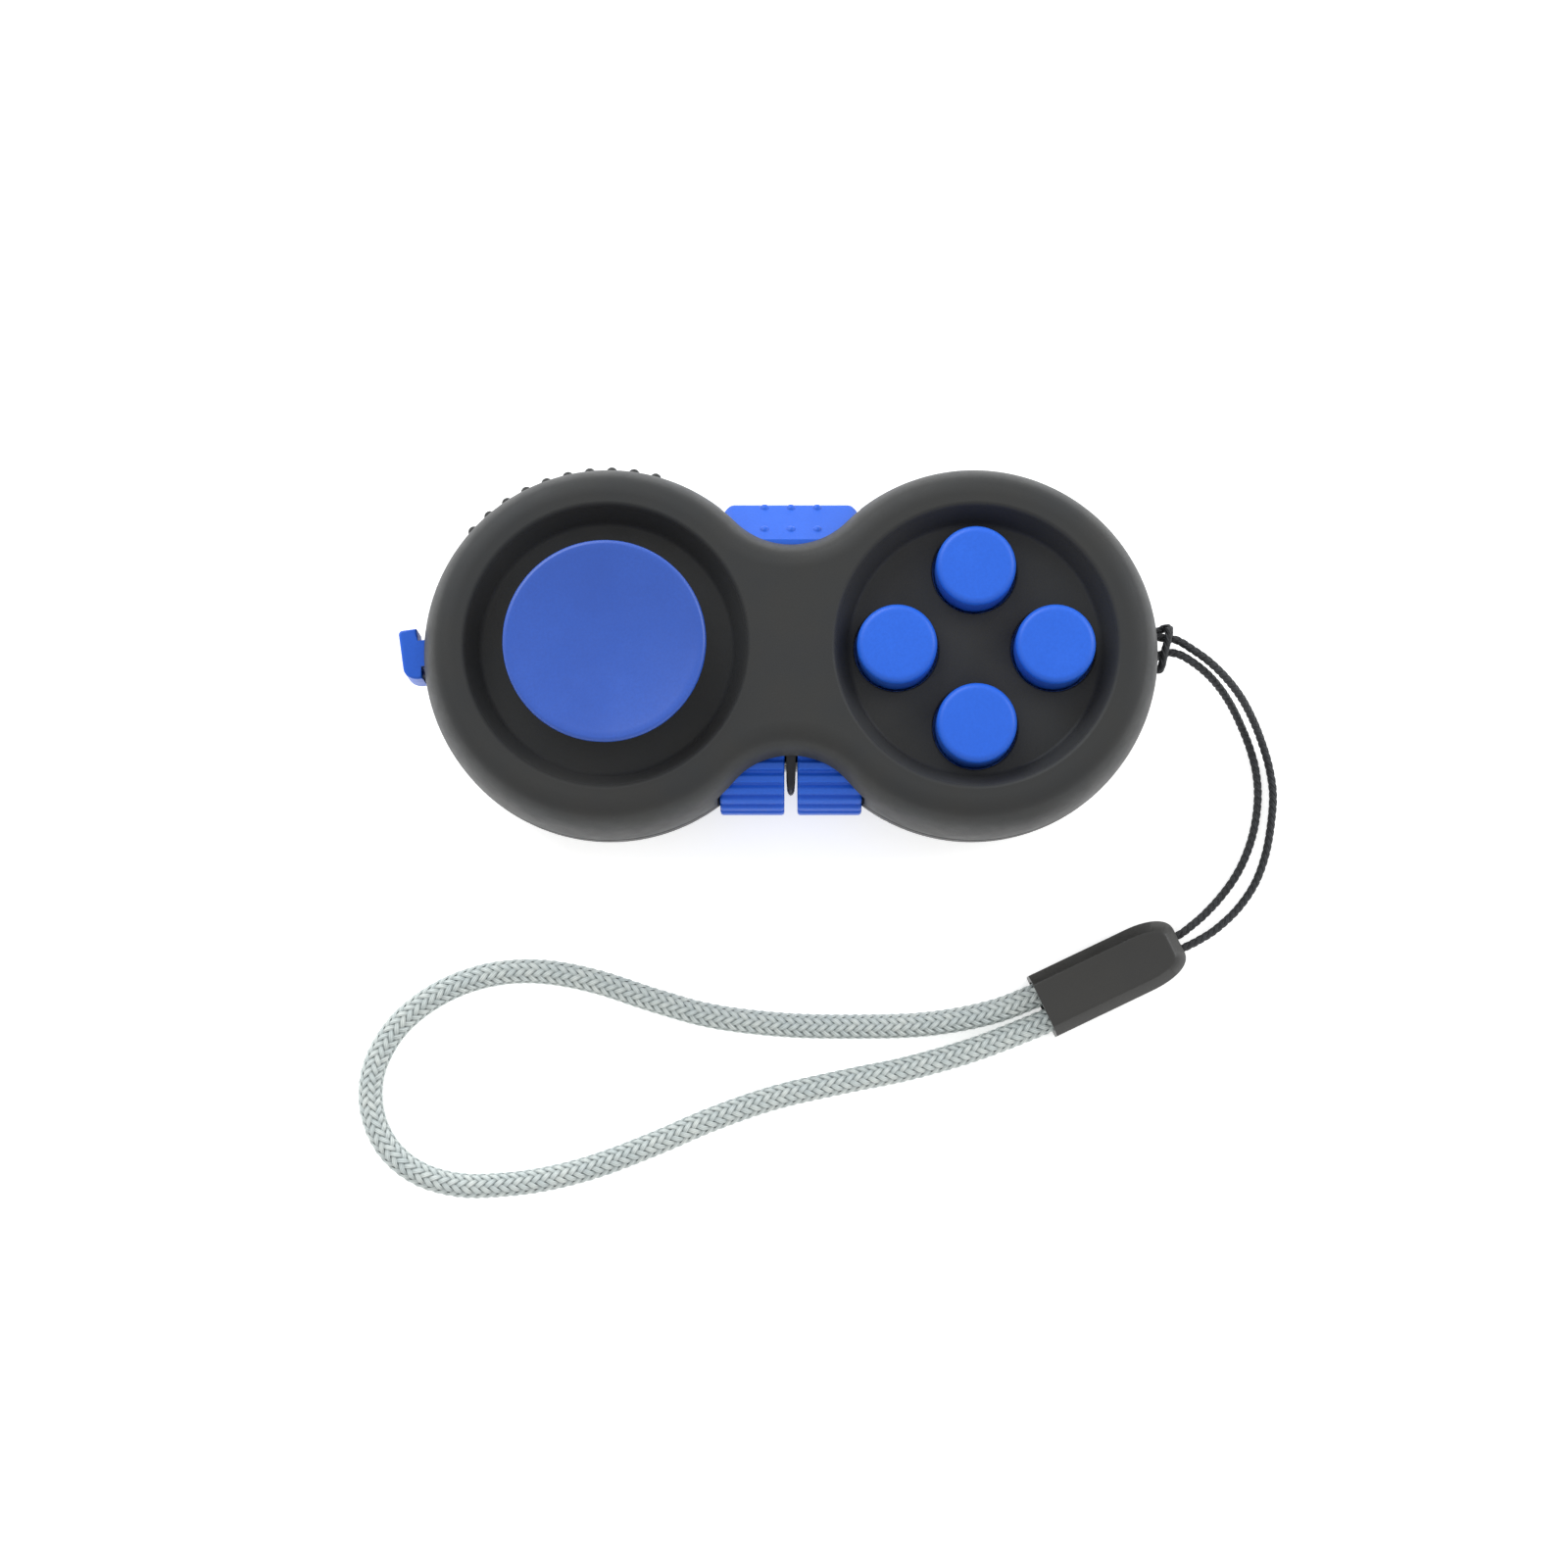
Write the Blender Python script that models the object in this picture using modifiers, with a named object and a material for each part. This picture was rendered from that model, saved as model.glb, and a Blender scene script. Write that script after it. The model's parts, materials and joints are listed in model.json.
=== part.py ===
"""Two-lobed fidget pad with a wrist lanyard: design model, +Z up.

The pad lies on its back with its face up.  X runs along the body, with the glide stick's lobe at -X and
the buttons' lobe at +X.  The origin is on the flat rest face, under the middle of the waist.

Sizes are written in millimetres.  Every object hangs on one empty, whose scale brings the model to metres.
"""
import math

import bmesh
import bpy
from mathutils import Matrix, Vector

METRES_PER_MILLIMETRE = 0.001

# Clearances
GAP = 0.3               # between two pieces that touch or run on each other
SEAM_GAP = 0.3          # between the two shells

# Body
LOBE_SPACING = 42.1     # between the two lobe axes
LOBE_RADIUS = 21.4
WAIST_HALF_WIDTH = 12.7
BODY_HEIGHT = 22.0
EDGE_INSET = 4.0        # how far the rounded edge draws the outline in
EDGE_FULLNESS = 0.8     # 1 is an ellipse, less is squarer
WALL = 2.0
FACE_PLATE = 1.6        # plate at the bottom of each face recess
FLOOR_PLATE = 1.6       # plate above the dial recess

# Face recesses
RECESS_DEPTH = 4.2
RECESS_MARGIN = 0.85    # floor outside the buttons
RECESS_SLOPE = 1.4      # how much wider the rim is than the floor
RIM_ROUND = 1.3
RECESS_FILLET = 0.4

# Glide stick
CAP_RADIUS = 11.5
CAP_RISE = 3.3          # above the body's top
CAP_EDGE = 1.0
CAP_EDGE_DROP = 0.15    # from the cap's crest to its outer shoulder
CAP_CREST = 10.9        # radius of the dish's edge
CAP_SHOULDER = 11.3     # radius where the edge rounds over
CAP_DISH = 1.1
CAP_NECK = 3.6          # height of the tapered underside
CAP_NECK_FOOT = 4.7     # height where the underside meets the stem
CAP_FLARE = 6.0         # radius at the tapered underside's foot
STEM_RADIUS = 4.0
STICK_TRAVEL = 2.0      # each way along X and along Y
RETAINER_RADIUS = 11.0
RETAINER_THICKNESS = 1.6
SLIDE_RADIUS = 9.3
SLIDE_HOLE_RADIUS = 5.2
SLIDE_THICKNESS = 1.2
KEY_WIDTH = 2.0
KEY_HEIGHT = 0.8
GUIDE_RADIUS = 11.9
GUIDE_THICKNESS = 1.6

# Buttons
BUTTON_RADIUS = 4.55
BUTTON_RISE = 0.8       # above the body's top
BUTTON_EDGE_ROUND = 0.8
BUTTON_FLANGE = 1.05
BUTTON_FLANGE_THICKNESS = 1.2
FLANGE_SPACING = 1.53   # between neighbouring buttons' flanges
DOME_HEIGHT = 3.6
DOME_RADIUS = 2.6
DOME_SKIN = 0.45
DOME_FOOT = 0.5
DOME_CROWN = 0.8        # height of the solid tip that pushes the cap
CARRIER_MARGIN = 0.5    # plate outside the domes
CARRIER_THICKNESS = 1.3

# Fasteners
SHANK_RADIUS = 0.9
HEAD_RADIUS = 1.8
HEAD_HEIGHT = 1.2
HEAD_EDGE = 0.72         # height of the head's straight side
HEAD_CROWN_SHARE = 0.75 # radius of the head's flat top as a share of its radius
BOSS_RADIUS = 1.9       # bosses for the two inner plates
BOSS_EDGE_DISTANCE = 2.5
ARM_START_SHARE = 0.7   # where a plate's arm starts, as a share of the plate's radius
PLATE_STEP = 0.1        # an inner plate's disc is this much lower than its ears on each face
PLATE_BOSS_ANGLES = (65, 148, 295)
SHELL_BOSS_RADIUS = 2.4
SHELL_BOSS_EDGE_DISTANCE = 3.1
SHELL_BOSS_ROOM = 0.64  # between a shell boss and the nearest button's flange
SHELL_BOSS_LEAST_TURN = math.radians(22)
COUNTERBORE_DEPTH = 2.3
THREAD_DEPTH = 4.2      # how far a screw reaches into its boss

# Rollers
ROLLER_RADIUS = 6.0
ROLLER_REACH = 18.4     # outermost point of the rollers from the body's centre plane
ROLLER_LENGTH = 7.4
ROLLER_RIBS = 24
RIB_DEPTH = 0.45
RIB_ROOT_END = 0.2      # end of a groove's floor, as a share of the rib pitch
RIB_CREST_START = 0.42
RIB_CREST_END = 0.78
ROLLER_CHAMFER = 0.5
ROLLER_BAY_GAP = 0.5
WEB_THICKNESS = 0.9
WEB_REACH = 3.4         # how far the web passes the rollers' axle
WEB_TIP_SHARE = 0.6     # the web's height at its tip as a share of its full height
AXLE_RADIUS = 1.0
CHEEK_THICKNESS = 1.75
CHEEK_HALF_WIDTH = 2.2
CHEEK_LIP = 0.5         # cheek beyond a pin or a leaf spring's slot

# Rocker
ROCKER_LENGTH = 15.5
ROCKER_REACH = 17.8
ROCKER_HALF_HEIGHT = 5.9
ROCKER_NOSE_HALF = 1.2
ROCKER_DEPTH = 5.1      # from the pad's back to its nose
ROCKER_CORNER = 0.6
ROCKER_BACK_ROOM = 1.3  # behind the rocker, for its swing
ROCKER_SWING = math.radians(8)
ROCKER_PIN_RADIUS = 0.8
ROCKER_ARM = 7.8        # from the pin to the nose
HUB_HALF_LENGTH = 5.5
HUB_HALF_HEIGHT = 2.2
HUB_BACK = 2.2          # from the pin to the flat that the leaf spring holds
DOT_RADIUS = 0.5
DOT_HEIGHT = 0.3
DOT_PITCH = 3.05
ROCKER_DOT_ROWS = (0.42, 0.9)   # shares of the way down the sloping face
LEAF_THICKNESS = 0.4
LEAF_HALF_HEIGHT = 2.0

# Flip lever at the left end
FLIP_REACH = 6.45       # from the pin to the outer face
FLIP_HEAD_LENGTH = 2.1
FLIP_HEAD_HALF_WIDTH = 2.95
FLIP_NECK_HALF_WIDTH = 1.5
FLIP_HALF_HEIGHT = 3.4
FLIP_CORNER = 0.4
FLIP_HOOK_SHARE = 0.7   # height of the hook's curve as a share of the head's length
FLIP_HOOK_FULLNESS = 0.8    # 1 is an ellipse, less is squarer
FLIP_HUB = 2.0
FLIP_HUB_BACK = 0.6     # where the neck meets the hub, as a share of the hub's size
FLIP_HUB_SHOULDER = 0.55    # half width of the hub's far corners, as a share of its size
FLIP_HUB_ROOM = 2.6     # radius of the hub's room in the wall
FLIP_HUB_ROOM_RISE = 0.27   # room above and below the lever's hub
FLIP_STAND_OFF = 2.6    # how far the outer face stands proud of the lobe
FLIP_OFFSET = 0.6       # pin's distance from the lobe's centre line, towards +Y
FLIP_TILT = math.radians(8)  # each way from square
FLIP_PIN_RADIUS = 0.8
FLIP_BOSS_RADIUS = 1.7

# Rubbing dots on the left lobe's side
SIDE_DOT_COLUMNS = 10
SIDE_DOT_FIRST_ANGLE = 75
SIDE_DOT_ANGLE_STEP = 7
SIDE_DOT_HEIGHTS = (1.7, 4.6)
SIDE_DOT_RADIUS = 0.55
SIDE_DOT_HEIGHT = 0.42
SIDE_DOT_SINK = 0.4     # how deep a dot's root lies in the wall

# Back of the pad
DIAL_RADIUS = 12.0
DIAL_THICKNESS = 1.8
DIAL_EDGE = 0.4
DIAL_HUB_RADIUS = 3.0
DIAL_RECESS_DEPTH = 2.4
DIAL_RECESS_GAP = 0.6
DIMPLE_RADIUS = 3.8
DIMPLE_DEPTH = 1.0
DIMPLE_OFFSET = 6.8
WASHER_RADIUS = 5.0
WASHER_THICKNESS = 0.7
DISH_RADIUS = 11.5
DISH_DEPTH = 1.9
DISH_OVERRUN = 0.3      # how far the dish's cutter runs past the rest face, in profile steps

# Lanyard
STRING_DIAMETER = 1.15
CORD_DIAMETER = 3.0
HITCH_SLACK = 1.58      # how far the hitch's ring passes the wall on each side
EYE_RADIUS = 1.0
EYE_SPACING = 3.5
EYE_OFFSET = 0.9        # middle of the two eyes from the lobe's centre line
CLIP_LENGTH = 18.0
CLIP_WIDTH = 7.8
CLIP_THICKNESS = 5.0
CLIP_BEVEL = 1.1
CLIP_FOOT_BEVEL = 0.44
CLIP_LIFT = 0.1
CLIP_TIP_SHARE = 0.55   # width of the tip's flat end as a share of the clip's width
CLIP_TIP_ROUND = 5.07   # length of the rounded tip
CLIP_TIP_STEPS = 5
CLIP_MOUTH = Vector((29.5, -40.2))
CLIP_ANGLE = math.radians(25.5)

# Mesh fineness
LOBE_STEPS = 28
WAIST_STEPS = 9         # odd, so that no corner of the outline meets the web's middle
EDGE_STEPS = 5
WIDE_STEPS = 36
ROUND_STEPS = 28
SMALL_STEPS = 14
BORE_STEPS = 10
ROUTE_STEPS = 12
HITCH_STEPS = 20

# Places worked out from the sizes above
HALF_SPACING = LOBE_SPACING / 2
WAIST_RADIUS = (HALF_SPACING ** 2 + WAIST_HALF_WIDTH ** 2 - LOBE_RADIUS ** 2) / 2
WAIST_RADIUS /= LOBE_RADIUS - WAIST_HALF_WIDTH
WAIST_CENTRE = WAIST_HALF_WIDTH + WAIST_RADIUS
WAIST_TURN = math.atan2(WAIST_CENTRE, HALF_SPACING)
SEAM = BODY_HEIGHT / 2
TOP = BODY_HEIGHT
FACE = TOP - RECESS_DEPTH
CEILING = FACE - FACE_PLATE
INNER_FLOOR = DIAL_RECESS_DEPTH + FLOOR_PLATE
CAVITY_RADIUS = LOBE_RADIUS - WALL
LEFT = Vector((-HALF_SPACING, 0, 0))
RIGHT = Vector((HALF_SPACING, 0, 0))
HEAD_CLEARANCE = HEAD_RADIUS + GAP
SHANK_CLEARANCE = SHANK_RADIUS + GAP

FLANGE_RADIUS = BUTTON_RADIUS + BUTTON_FLANGE
BUTTON_RING_RADIUS = (2 * FLANGE_RADIUS + FLANGE_SPACING) / math.sqrt(2)
RECESS_FLOOR_RADIUS = BUTTON_RING_RADIUS + BUTTON_RADIUS + RECESS_MARGIN
RECESS_RIM_RADIUS = RECESS_FLOOR_RADIUS + RECESS_SLOPE
CARRIER_RADIUS = BUTTON_RING_RADIUS + DOME_RADIUS + CARRIER_MARGIN

# A shell boss stands at this radius in its lobe, turned from the Y axis until it clears a button's flange
SHELL_BOSS_PLACE_RADIUS = CAVITY_RADIUS - SHELL_BOSS_EDGE_DISTANCE
SHELL_BOSS_REACH = FLANGE_RADIUS + SHELL_BOSS_RADIUS + SHELL_BOSS_ROOM
SHELL_BOSS_COSINE = BUTTON_RING_RADIUS ** 2 + SHELL_BOSS_PLACE_RADIUS ** 2 - SHELL_BOSS_REACH ** 2
SHELL_BOSS_COSINE /= 2 * BUTTON_RING_RADIUS * SHELL_BOSS_PLACE_RADIUS
SHELL_BOSS_TURN = max(SHELL_BOSS_LEAST_TURN, math.acos(min(SHELL_BOSS_COSINE, 1)))

RETAINER_TOP = CEILING - GAP
RETAINER_BOTTOM = RETAINER_TOP - RETAINER_THICKNESS
SLIDE_TOP = RETAINER_BOTTOM - GAP
SLIDE_BOTTOM = SLIDE_TOP - SLIDE_THICKNESS
GUIDE_TOP = SLIDE_BOTTOM - GAP
GUIDE_BOTTOM = GUIDE_TOP - GUIDE_THICKNESS
STEM_HOLE_RADIUS = STEM_RADIUS + math.sqrt(2) * STICK_TRAVEL + GAP

FLANGE_TOP = CEILING - GAP
FLANGE_BOTTOM = FLANGE_TOP - BUTTON_FLANGE_THICKNESS
DOME_TOP = FLANGE_BOTTOM - GAP
DOME_BOTTOM = DOME_TOP - DOME_HEIGHT
CARRIER_TOP = DOME_BOTTOM - GAP
CARRIER_BOTTOM = CARRIER_TOP - CARRIER_THICKNESS

AXLE_Y = ROLLER_RADIUS - ROLLER_REACH
ROLLER_START = WEB_THICKNESS / 2 + GAP
ROLLER_END = ROLLER_START + ROLLER_LENGTH
BAY_RADIUS = ROLLER_RADIUS + ROLLER_BAY_GAP
AXLE_HALF_LENGTH = ROLLER_END + CHEEK_THICKNESS

ROCKER_PIN_Y = ROCKER_REACH - ROCKER_ARM
ROCKER_BACK = ROCKER_REACH - ROCKER_DEPTH
ROCKER_CHEEK_END = HUB_HALF_LENGTH + GAP + CHEEK_THICKNESS
ROCKER_CHEEK_FRONT = ROCKER_PIN_Y + ROCKER_PIN_RADIUS + CHEEK_LIP
ROCKER_LEAF_Y = ROCKER_PIN_Y - HUB_BACK - GAP - LEAF_THICKNESS / 2
ROCKER_CHEEK_BACK = ROCKER_LEAF_Y - LEAF_THICKNESS / 2 - GAP - CHEEK_LIP

FLIP_PIN_X = -HALF_SPACING - LOBE_RADIUS - FLIP_STAND_OFF + FLIP_REACH
FLIP_LEAF_X = FLIP_PIN_X + FLIP_HUB + GAP + LEAF_THICKNESS / 2
FLIP_LEAF_HALF_LENGTH = 3.4
FLIP_POST_INNER = FLIP_HUB + 2 * GAP

# The dial's recess leaves it just clear of the rest face
DIAL_TOP = DIAL_RECESS_DEPTH - GAP
DIAL_BOTTOM = DIAL_TOP - DIAL_THICKNESS
DIAL_HUB_TOP = INNER_FLOOR + 0.1
WASHER_BOTTOM = DIAL_HUB_TOP + GAP

# Routes of the lanyard, in millimetres: each is a list of points that the cord's middle passes through
OUTER_STRAND_ROUTE = [
    (45.0, 2.0, 11.0), (46.8, 0.9, 11.0), (48.8, -0.4, 10.2), (50.9, -2.1, 8.6), (52.9, -4.1, 6.2),
    (54.6, -6.5, 3.6), (55.9, -9.1, 1.6), (56.8, -11.9, 0.7), (57.2, -15.0, 0.6), (56.9, -18.6, 0.6),
    (56.2, -22.2, 0.6), (54.9, -25.6, 0.6), (52.8, -28.6, 0.8), (50.2, -31.0, 1.5), (48.0, -32.4, 2.2),
    (46.4, -33.2, 2.5),
]
INNER_STRAND_ROUTE = [
    (45.1, 0.4, 10.9), (46.7, -0.4, 10.4), (48.6, -1.6, 8.9), (50.4, -3.1, 6.7), (52.0, -4.9, 4.2),
    (53.4, -7.1, 2.0), (54.5, -9.5, 0.8), (55.2, -12.2, 0.6), (55.4, -15.2, 0.6), (55.0, -18.6, 0.6),
    (54.1, -21.7, 0.6), (52.7, -24.6, 0.6), (50.8, -27.2, 0.8), (48.7, -29.4, 1.5), (46.9, -30.9, 2.2),
    (45.8, -31.7, 2.5),
]
WRIST_LOOP_ROUTE = [
    (28.5, -39.0, 2.3), (23.3, -40.9, 1.8), (16.0, -42.2, 1.6), (7.6, -42.5, 1.6), (-0.8, -42.3, 1.6),
    (-9.1, -41.3, 1.6), (-15.8, -39.5, 1.6), (-22.6, -37.3, 1.6), (-28.7, -36.1, 1.6), (-34.2, -36.2, 1.6),
    (-39.3, -37.6, 1.6), (-43.8, -40.2, 1.6), (-47.1, -43.6, 1.6), (-49.1, -48.0, 1.6), (-49.1, -52.6, 1.6),
    (-47.2, -56.7, 1.6), (-43.7, -59.6, 1.6), (-39.0, -61.0, 1.6), (-34.0, -61.0, 1.6), (-28.6, -60.3, 1.6),
    (-22.5, -58.7, 1.6), (-15.7, -56.1, 1.6), (-9.1, -53.3, 1.6), (-1.8, -50.8, 1.6), (6.5, -48.9, 1.6),
    (13.8, -47.4, 1.6), (21.8, -45.1, 1.7), (30.0, -41.9, 2.3),
]


# Scene and materials

def clear_scene():
    """Remove every object that the file holds."""
    for item in list(bpy.data.objects):
        bpy.data.objects.remove(item, do_unlink=True)


def new_collection(name):
    """Add a collection to the scene."""
    collection = bpy.data.collections.new(name)
    bpy.context.scene.collection.children.link(collection)
    return collection


def new_material(name, colour, roughness, metallic=0.0):
    """Make a plain surface from its colour, roughness and metallic value."""
    surface = bpy.data.materials.new(name)
    surface.use_nodes = True
    shader = surface.node_tree.nodes["Principled BSDF"]
    shader.inputs["Base Color"].default_value = (*colour, 1.0)
    shader.inputs["Roughness"].default_value = roughness
    shader.inputs["Metallic"].default_value = metallic
    return surface


def new_frame():
    """Add the empty that everything hangs on."""
    frame = bpy.data.objects.new("fidget_pad_frame", None)
    frame.scale = (METRES_PER_MILLIMETRE,) * 3
    bpy.context.scene.collection.objects.link(frame)
    return frame


clear_scene()
FRAME = new_frame()
PARTS = new_collection("fidget_pad")
CUTTERS = new_collection("fidget_pad_cutters")
SOFT_BLACK = new_material("soft_black", (0.035, 0.035, 0.038), 0.55)
BLUE = new_material("blue", (0.03, 0.12, 0.62), 0.40)
PALE_PLASTIC = new_material("pale_plastic", (0.60, 0.60, 0.57), 0.45)
STEEL = new_material("steel", (0.55, 0.56, 0.58), 0.30, 1.0)
SILICONE = new_material("silicone", (0.32, 0.33, 0.35), 0.60)
CLIP_BLACK = new_material("clip_black", (0.045, 0.045, 0.047), 0.45)
STRING_BLACK = new_material("string_black", (0.02, 0.02, 0.022), 0.75)
CORD_GREY = new_material("cord_grey", (0.52, 0.57, 0.60), 0.80)


# Building tools

def add_object(name, data, finish, place=(0, 0, 0), turn=(0, 0, 0)):
    """Put data in the scene as a part, or as a cutter when it has no finish."""
    piece = bpy.data.objects.new(name, data)
    piece.parent = FRAME
    piece.location = place
    piece.rotation_euler = turn
    if finish is None:
        CUTTERS.objects.link(piece)
        piece.hide_render = True
        piece.display_type = "WIRE"
    else:
        PARTS.objects.link(piece)
        data.materials.append(finish)
    return piece


def mesh_object(name, shape, finish=None, origin=(0, 0, 0), smooth=False):
    """Turn a bmesh in world coordinates into an object whose origin is at the given point."""
    bmesh.ops.recalc_face_normals(shape, faces=shape.faces)
    bmesh.ops.translate(shape, verts=shape.verts, vec=-Vector(origin))
    mesh = bpy.data.meshes.new(name)
    shape.to_mesh(mesh)
    shape.free()
    if smooth:
        mesh.shade_smooth()
        mesh.set_sharp_from_angle(angle=math.radians(30))
    return add_object(name, mesh, finish, origin)


def turned(name, profile, place, finish=None, turn=(0, 0, 0), steps=ROUND_STEPS, ring=False):
    """Turn a profile of (radius, height) points about Z. A ring's profile closes on itself."""
    links = [(index, index + 1) for index in range(len(profile) - 1)]
    if ring:
        links.append((len(profile) - 1, 0))
    mesh = bpy.data.meshes.new(name)
    mesh.from_pydata([(radius, 0, height) for radius, height in profile], links, [])
    piece = add_object(name, mesh, finish, place, turn)
    screw = piece.modifiers.new("turn", "SCREW")
    screw.steps = steps
    screw.render_steps = steps
    screw.use_merge_vertices = True
    screw.merge_threshold = 0.0001
    screw.use_smooth_shade = True
    return piece


def lofted(name, rings, finish=None, origin=(0, 0, 0), smooth=False):
    """Skin a closed solid over rings that have the same number of points."""
    shape = bmesh.new()
    loops = [[shape.verts.new(point) for point in ring] for ring in rings]
    count = len(loops[0])
    for lower, upper in zip(loops, loops[1:]):
        for index in range(count):
            following = (index + 1) % count
            shape.faces.new((lower[index], lower[following], upper[following], upper[index]))
    shape.faces.new(reversed(loops[0]))
    shape.faces.new(loops[-1])
    return mesh_object(name, shape, finish, origin, smooth)


def box(name, low, high, finish=None, origin=(0, 0, 0)):
    """Make a box between two corners."""
    low = Vector(low)
    high = Vector(high)
    shape = bmesh.new()
    bmesh.ops.create_cube(shape, size=1.0)
    bmesh.ops.scale(shape, verts=shape.verts, vec=high - low)
    bmesh.ops.translate(shape, verts=shape.verts, vec=(low + high) / 2)
    return mesh_object(name, shape, finish, origin)


def cylinder(name, radius, start, end, finish=None, steps=SMALL_STEPS):
    """Make a round bar from one point to another."""
    start = Vector(start)
    along = Vector(end) - start
    shape = bmesh.new()
    bmesh.ops.create_cone(
        shape, cap_ends=True, segments=steps, radius1=radius, radius2=radius, depth=along.length
    )
    lean = along.to_track_quat("Z", "Y").to_matrix().to_4x4()
    bmesh.ops.transform(shape, matrix=Matrix.Translation(start + along / 2) @ lean, verts=shape.verts)
    return mesh_object(name, shape, finish, smooth=True)


def beads(name, centres, radius):
    """Make a group of small balls, to be joined to a part."""
    shape = bmesh.new()
    for centre in centres:
        bmesh.ops.create_uvsphere(
            shape, u_segments=8, v_segments=5, radius=radius, matrix=Matrix.Translation(centre)
        )
    return mesh_object(name, shape)


def boolean(piece, other, operation):
    """Cut, join or intersect a part with another object, live."""
    step = piece.modifiers.new(other.name, "BOOLEAN")
    step.operation = operation
    step.solver = "EXACT"
    step.object = other


def cut(piece, *cutters):
    """Take each cutter away from a part."""
    for cutter in cutters:
        boolean(piece, cutter, "DIFFERENCE")


def join(piece, *additions):
    """Add each shape to a part."""
    for addition in additions:
        boolean(piece, addition, "UNION")


def polar(centre, radius, angle, height=0.0):
    """A point at a radius and an angle in radians about a lobe's axis."""
    return centre + Vector((radius * math.cos(angle), radius * math.sin(angle), height))


def quarter(steps):
    """Angles that divide a quarter turn evenly."""
    return [math.pi / 2 * step / steps for step in range(steps + 1)]


# Body outline

def arc(centre_x, centre_y, radius, first, last, steps):
    """Points along an arc, without its last point."""
    points = []
    for step in range(steps):
        angle = first + (last - first) * step / steps
        points.append((centre_x + radius * math.cos(angle), centre_y + radius * math.sin(angle)))
    return points


def body_outline(inset):
    """The two lobes and the waist arcs between them, drawn in by inset."""
    lobe = LOBE_RADIUS - inset
    waist = WAIST_RADIUS + inset
    open_turn = math.pi - WAIST_TURN
    points = arc(HALF_SPACING, 0, lobe, -open_turn, open_turn, LOBE_STEPS)
    points += arc(0, WAIST_CENTRE, waist, -WAIST_TURN, -open_turn, WAIST_STEPS)
    points += arc(-HALF_SPACING, 0, lobe, WAIST_TURN, math.tau - WAIST_TURN, LOBE_STEPS)
    points += arc(0, -WAIST_CENTRE, waist, open_turn, WAIST_TURN, WAIST_STEPS)
    return points


def outline_ring(inset, height):
    """The body outline as points at one height."""
    return [(x, y, height) for x, y in body_outline(inset)]


def edge_inset(angle):
    """How far the side is drawn in, and how high it is above the seam, at an angle of the rounded edge."""
    inset = EDGE_INSET * (1 - math.cos(angle) ** EDGE_FULLNESS)
    height = SEAM * math.sin(angle) ** EDGE_FULLNESS
    return inset, height


def inset_at(height):
    """How far the side is drawn in at a height above or below the seam."""
    sine = (abs(height) / SEAM) ** (1 / EDGE_FULLNESS)
    return EDGE_INSET * (1 - (1 - sine ** 2) ** (EDGE_FULLNESS / 2))


def half_body(name, side):
    """The outer form of one shell. side is 1 for the top and -1 for the bottom."""
    rings = [outline_ring(inset_at(SEAM_GAP / 2), SEAM + side * SEAM_GAP / 2)]
    for angle in quarter(EDGE_STEPS)[1:-1]:
        inset, height = edge_inset(angle)
        rings.append(outline_ring(inset, SEAM + side * height))
    rings.append(outline_ring(EDGE_INSET, SEAM + side * SEAM))
    return lofted(name, rings, SOFT_BLACK, smooth=True)


# Shared features of the two shells

def plate_boss_places(centre):
    """Where the inner plate of a lobe is screwed to the top shell."""
    radius = CAVITY_RADIUS - BOSS_EDGE_DISTANCE
    places = []
    for degrees in PLATE_BOSS_ANGLES:
        angle = math.radians(degrees if centre.x < 0 else 180 - degrees)
        places.append(polar(centre, radius, angle))
    return places


def shell_boss_places():
    """Where the two shells are screwed together."""
    places = []
    for side in (1, -1):
        angle = side * (math.pi / 2 + SHELL_BOSS_TURN)
        places.append(polar(LEFT, SHELL_BOSS_PLACE_RADIUS, angle))
        places.append(polar(RIGHT, SHELL_BOSS_PLACE_RADIUS, math.pi - angle))
    return places


def at_height(place, height):
    """The same place at another height."""
    return Vector((place.x, place.y, height))


def roller_bay(shell, tag):
    """Open the waist for the two rollers."""
    cutter = cylinder(
        f"{tag}_roller_bay", BAY_RADIUS, (-ROLLER_END - GAP, AXLE_Y, SEAM), (ROLLER_END + GAP, AXLE_Y, SEAM),
        steps=ROUND_STEPS,
    )
    cut(shell, cutter)


def roller_web(shell, tag, side):
    """The thin web between the rollers, which tapers towards its tip. side is 1 for the top shell."""
    wide = WEB_THICKNESS / 2
    tall = BAY_RADIUS + WALL / 2
    foot = SEAM + side * SEAM_GAP
    stations = (
        (AXLE_Y + BAY_RADIUS + WALL, wide, tall),
        (AXLE_Y + AXLE_RADIUS / 3, wide, tall),
        (AXLE_Y - WEB_REACH, wide / 3, tall * WEB_TIP_SHARE),
    )
    rings = []
    for y, half, reach in stations:
        head = SEAM + side * reach
        rings.append([(-half, y, foot), (half, y, foot), (half, y, head), (-half, y, head)])
    join(shell, lofted(f"{tag}_web", rings))


def roller_cheeks(shell, tag, low, high):
    """The two cheeks that hold the axle's ends."""
    for side in (-1, 1):
        ends = sorted((side * (ROLLER_END + GAP), side * (ROLLER_END + GAP + CHEEK_THICKNESS)))
        corner_low = (ends[0], AXLE_Y - CHEEK_HALF_WIDTH, low)
        corner_high = (ends[1], AXLE_Y + CHEEK_HALF_WIDTH, high)
        join(shell, box(f"{tag}_axle_cheek_{side}", corner_low, corner_high))


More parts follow.
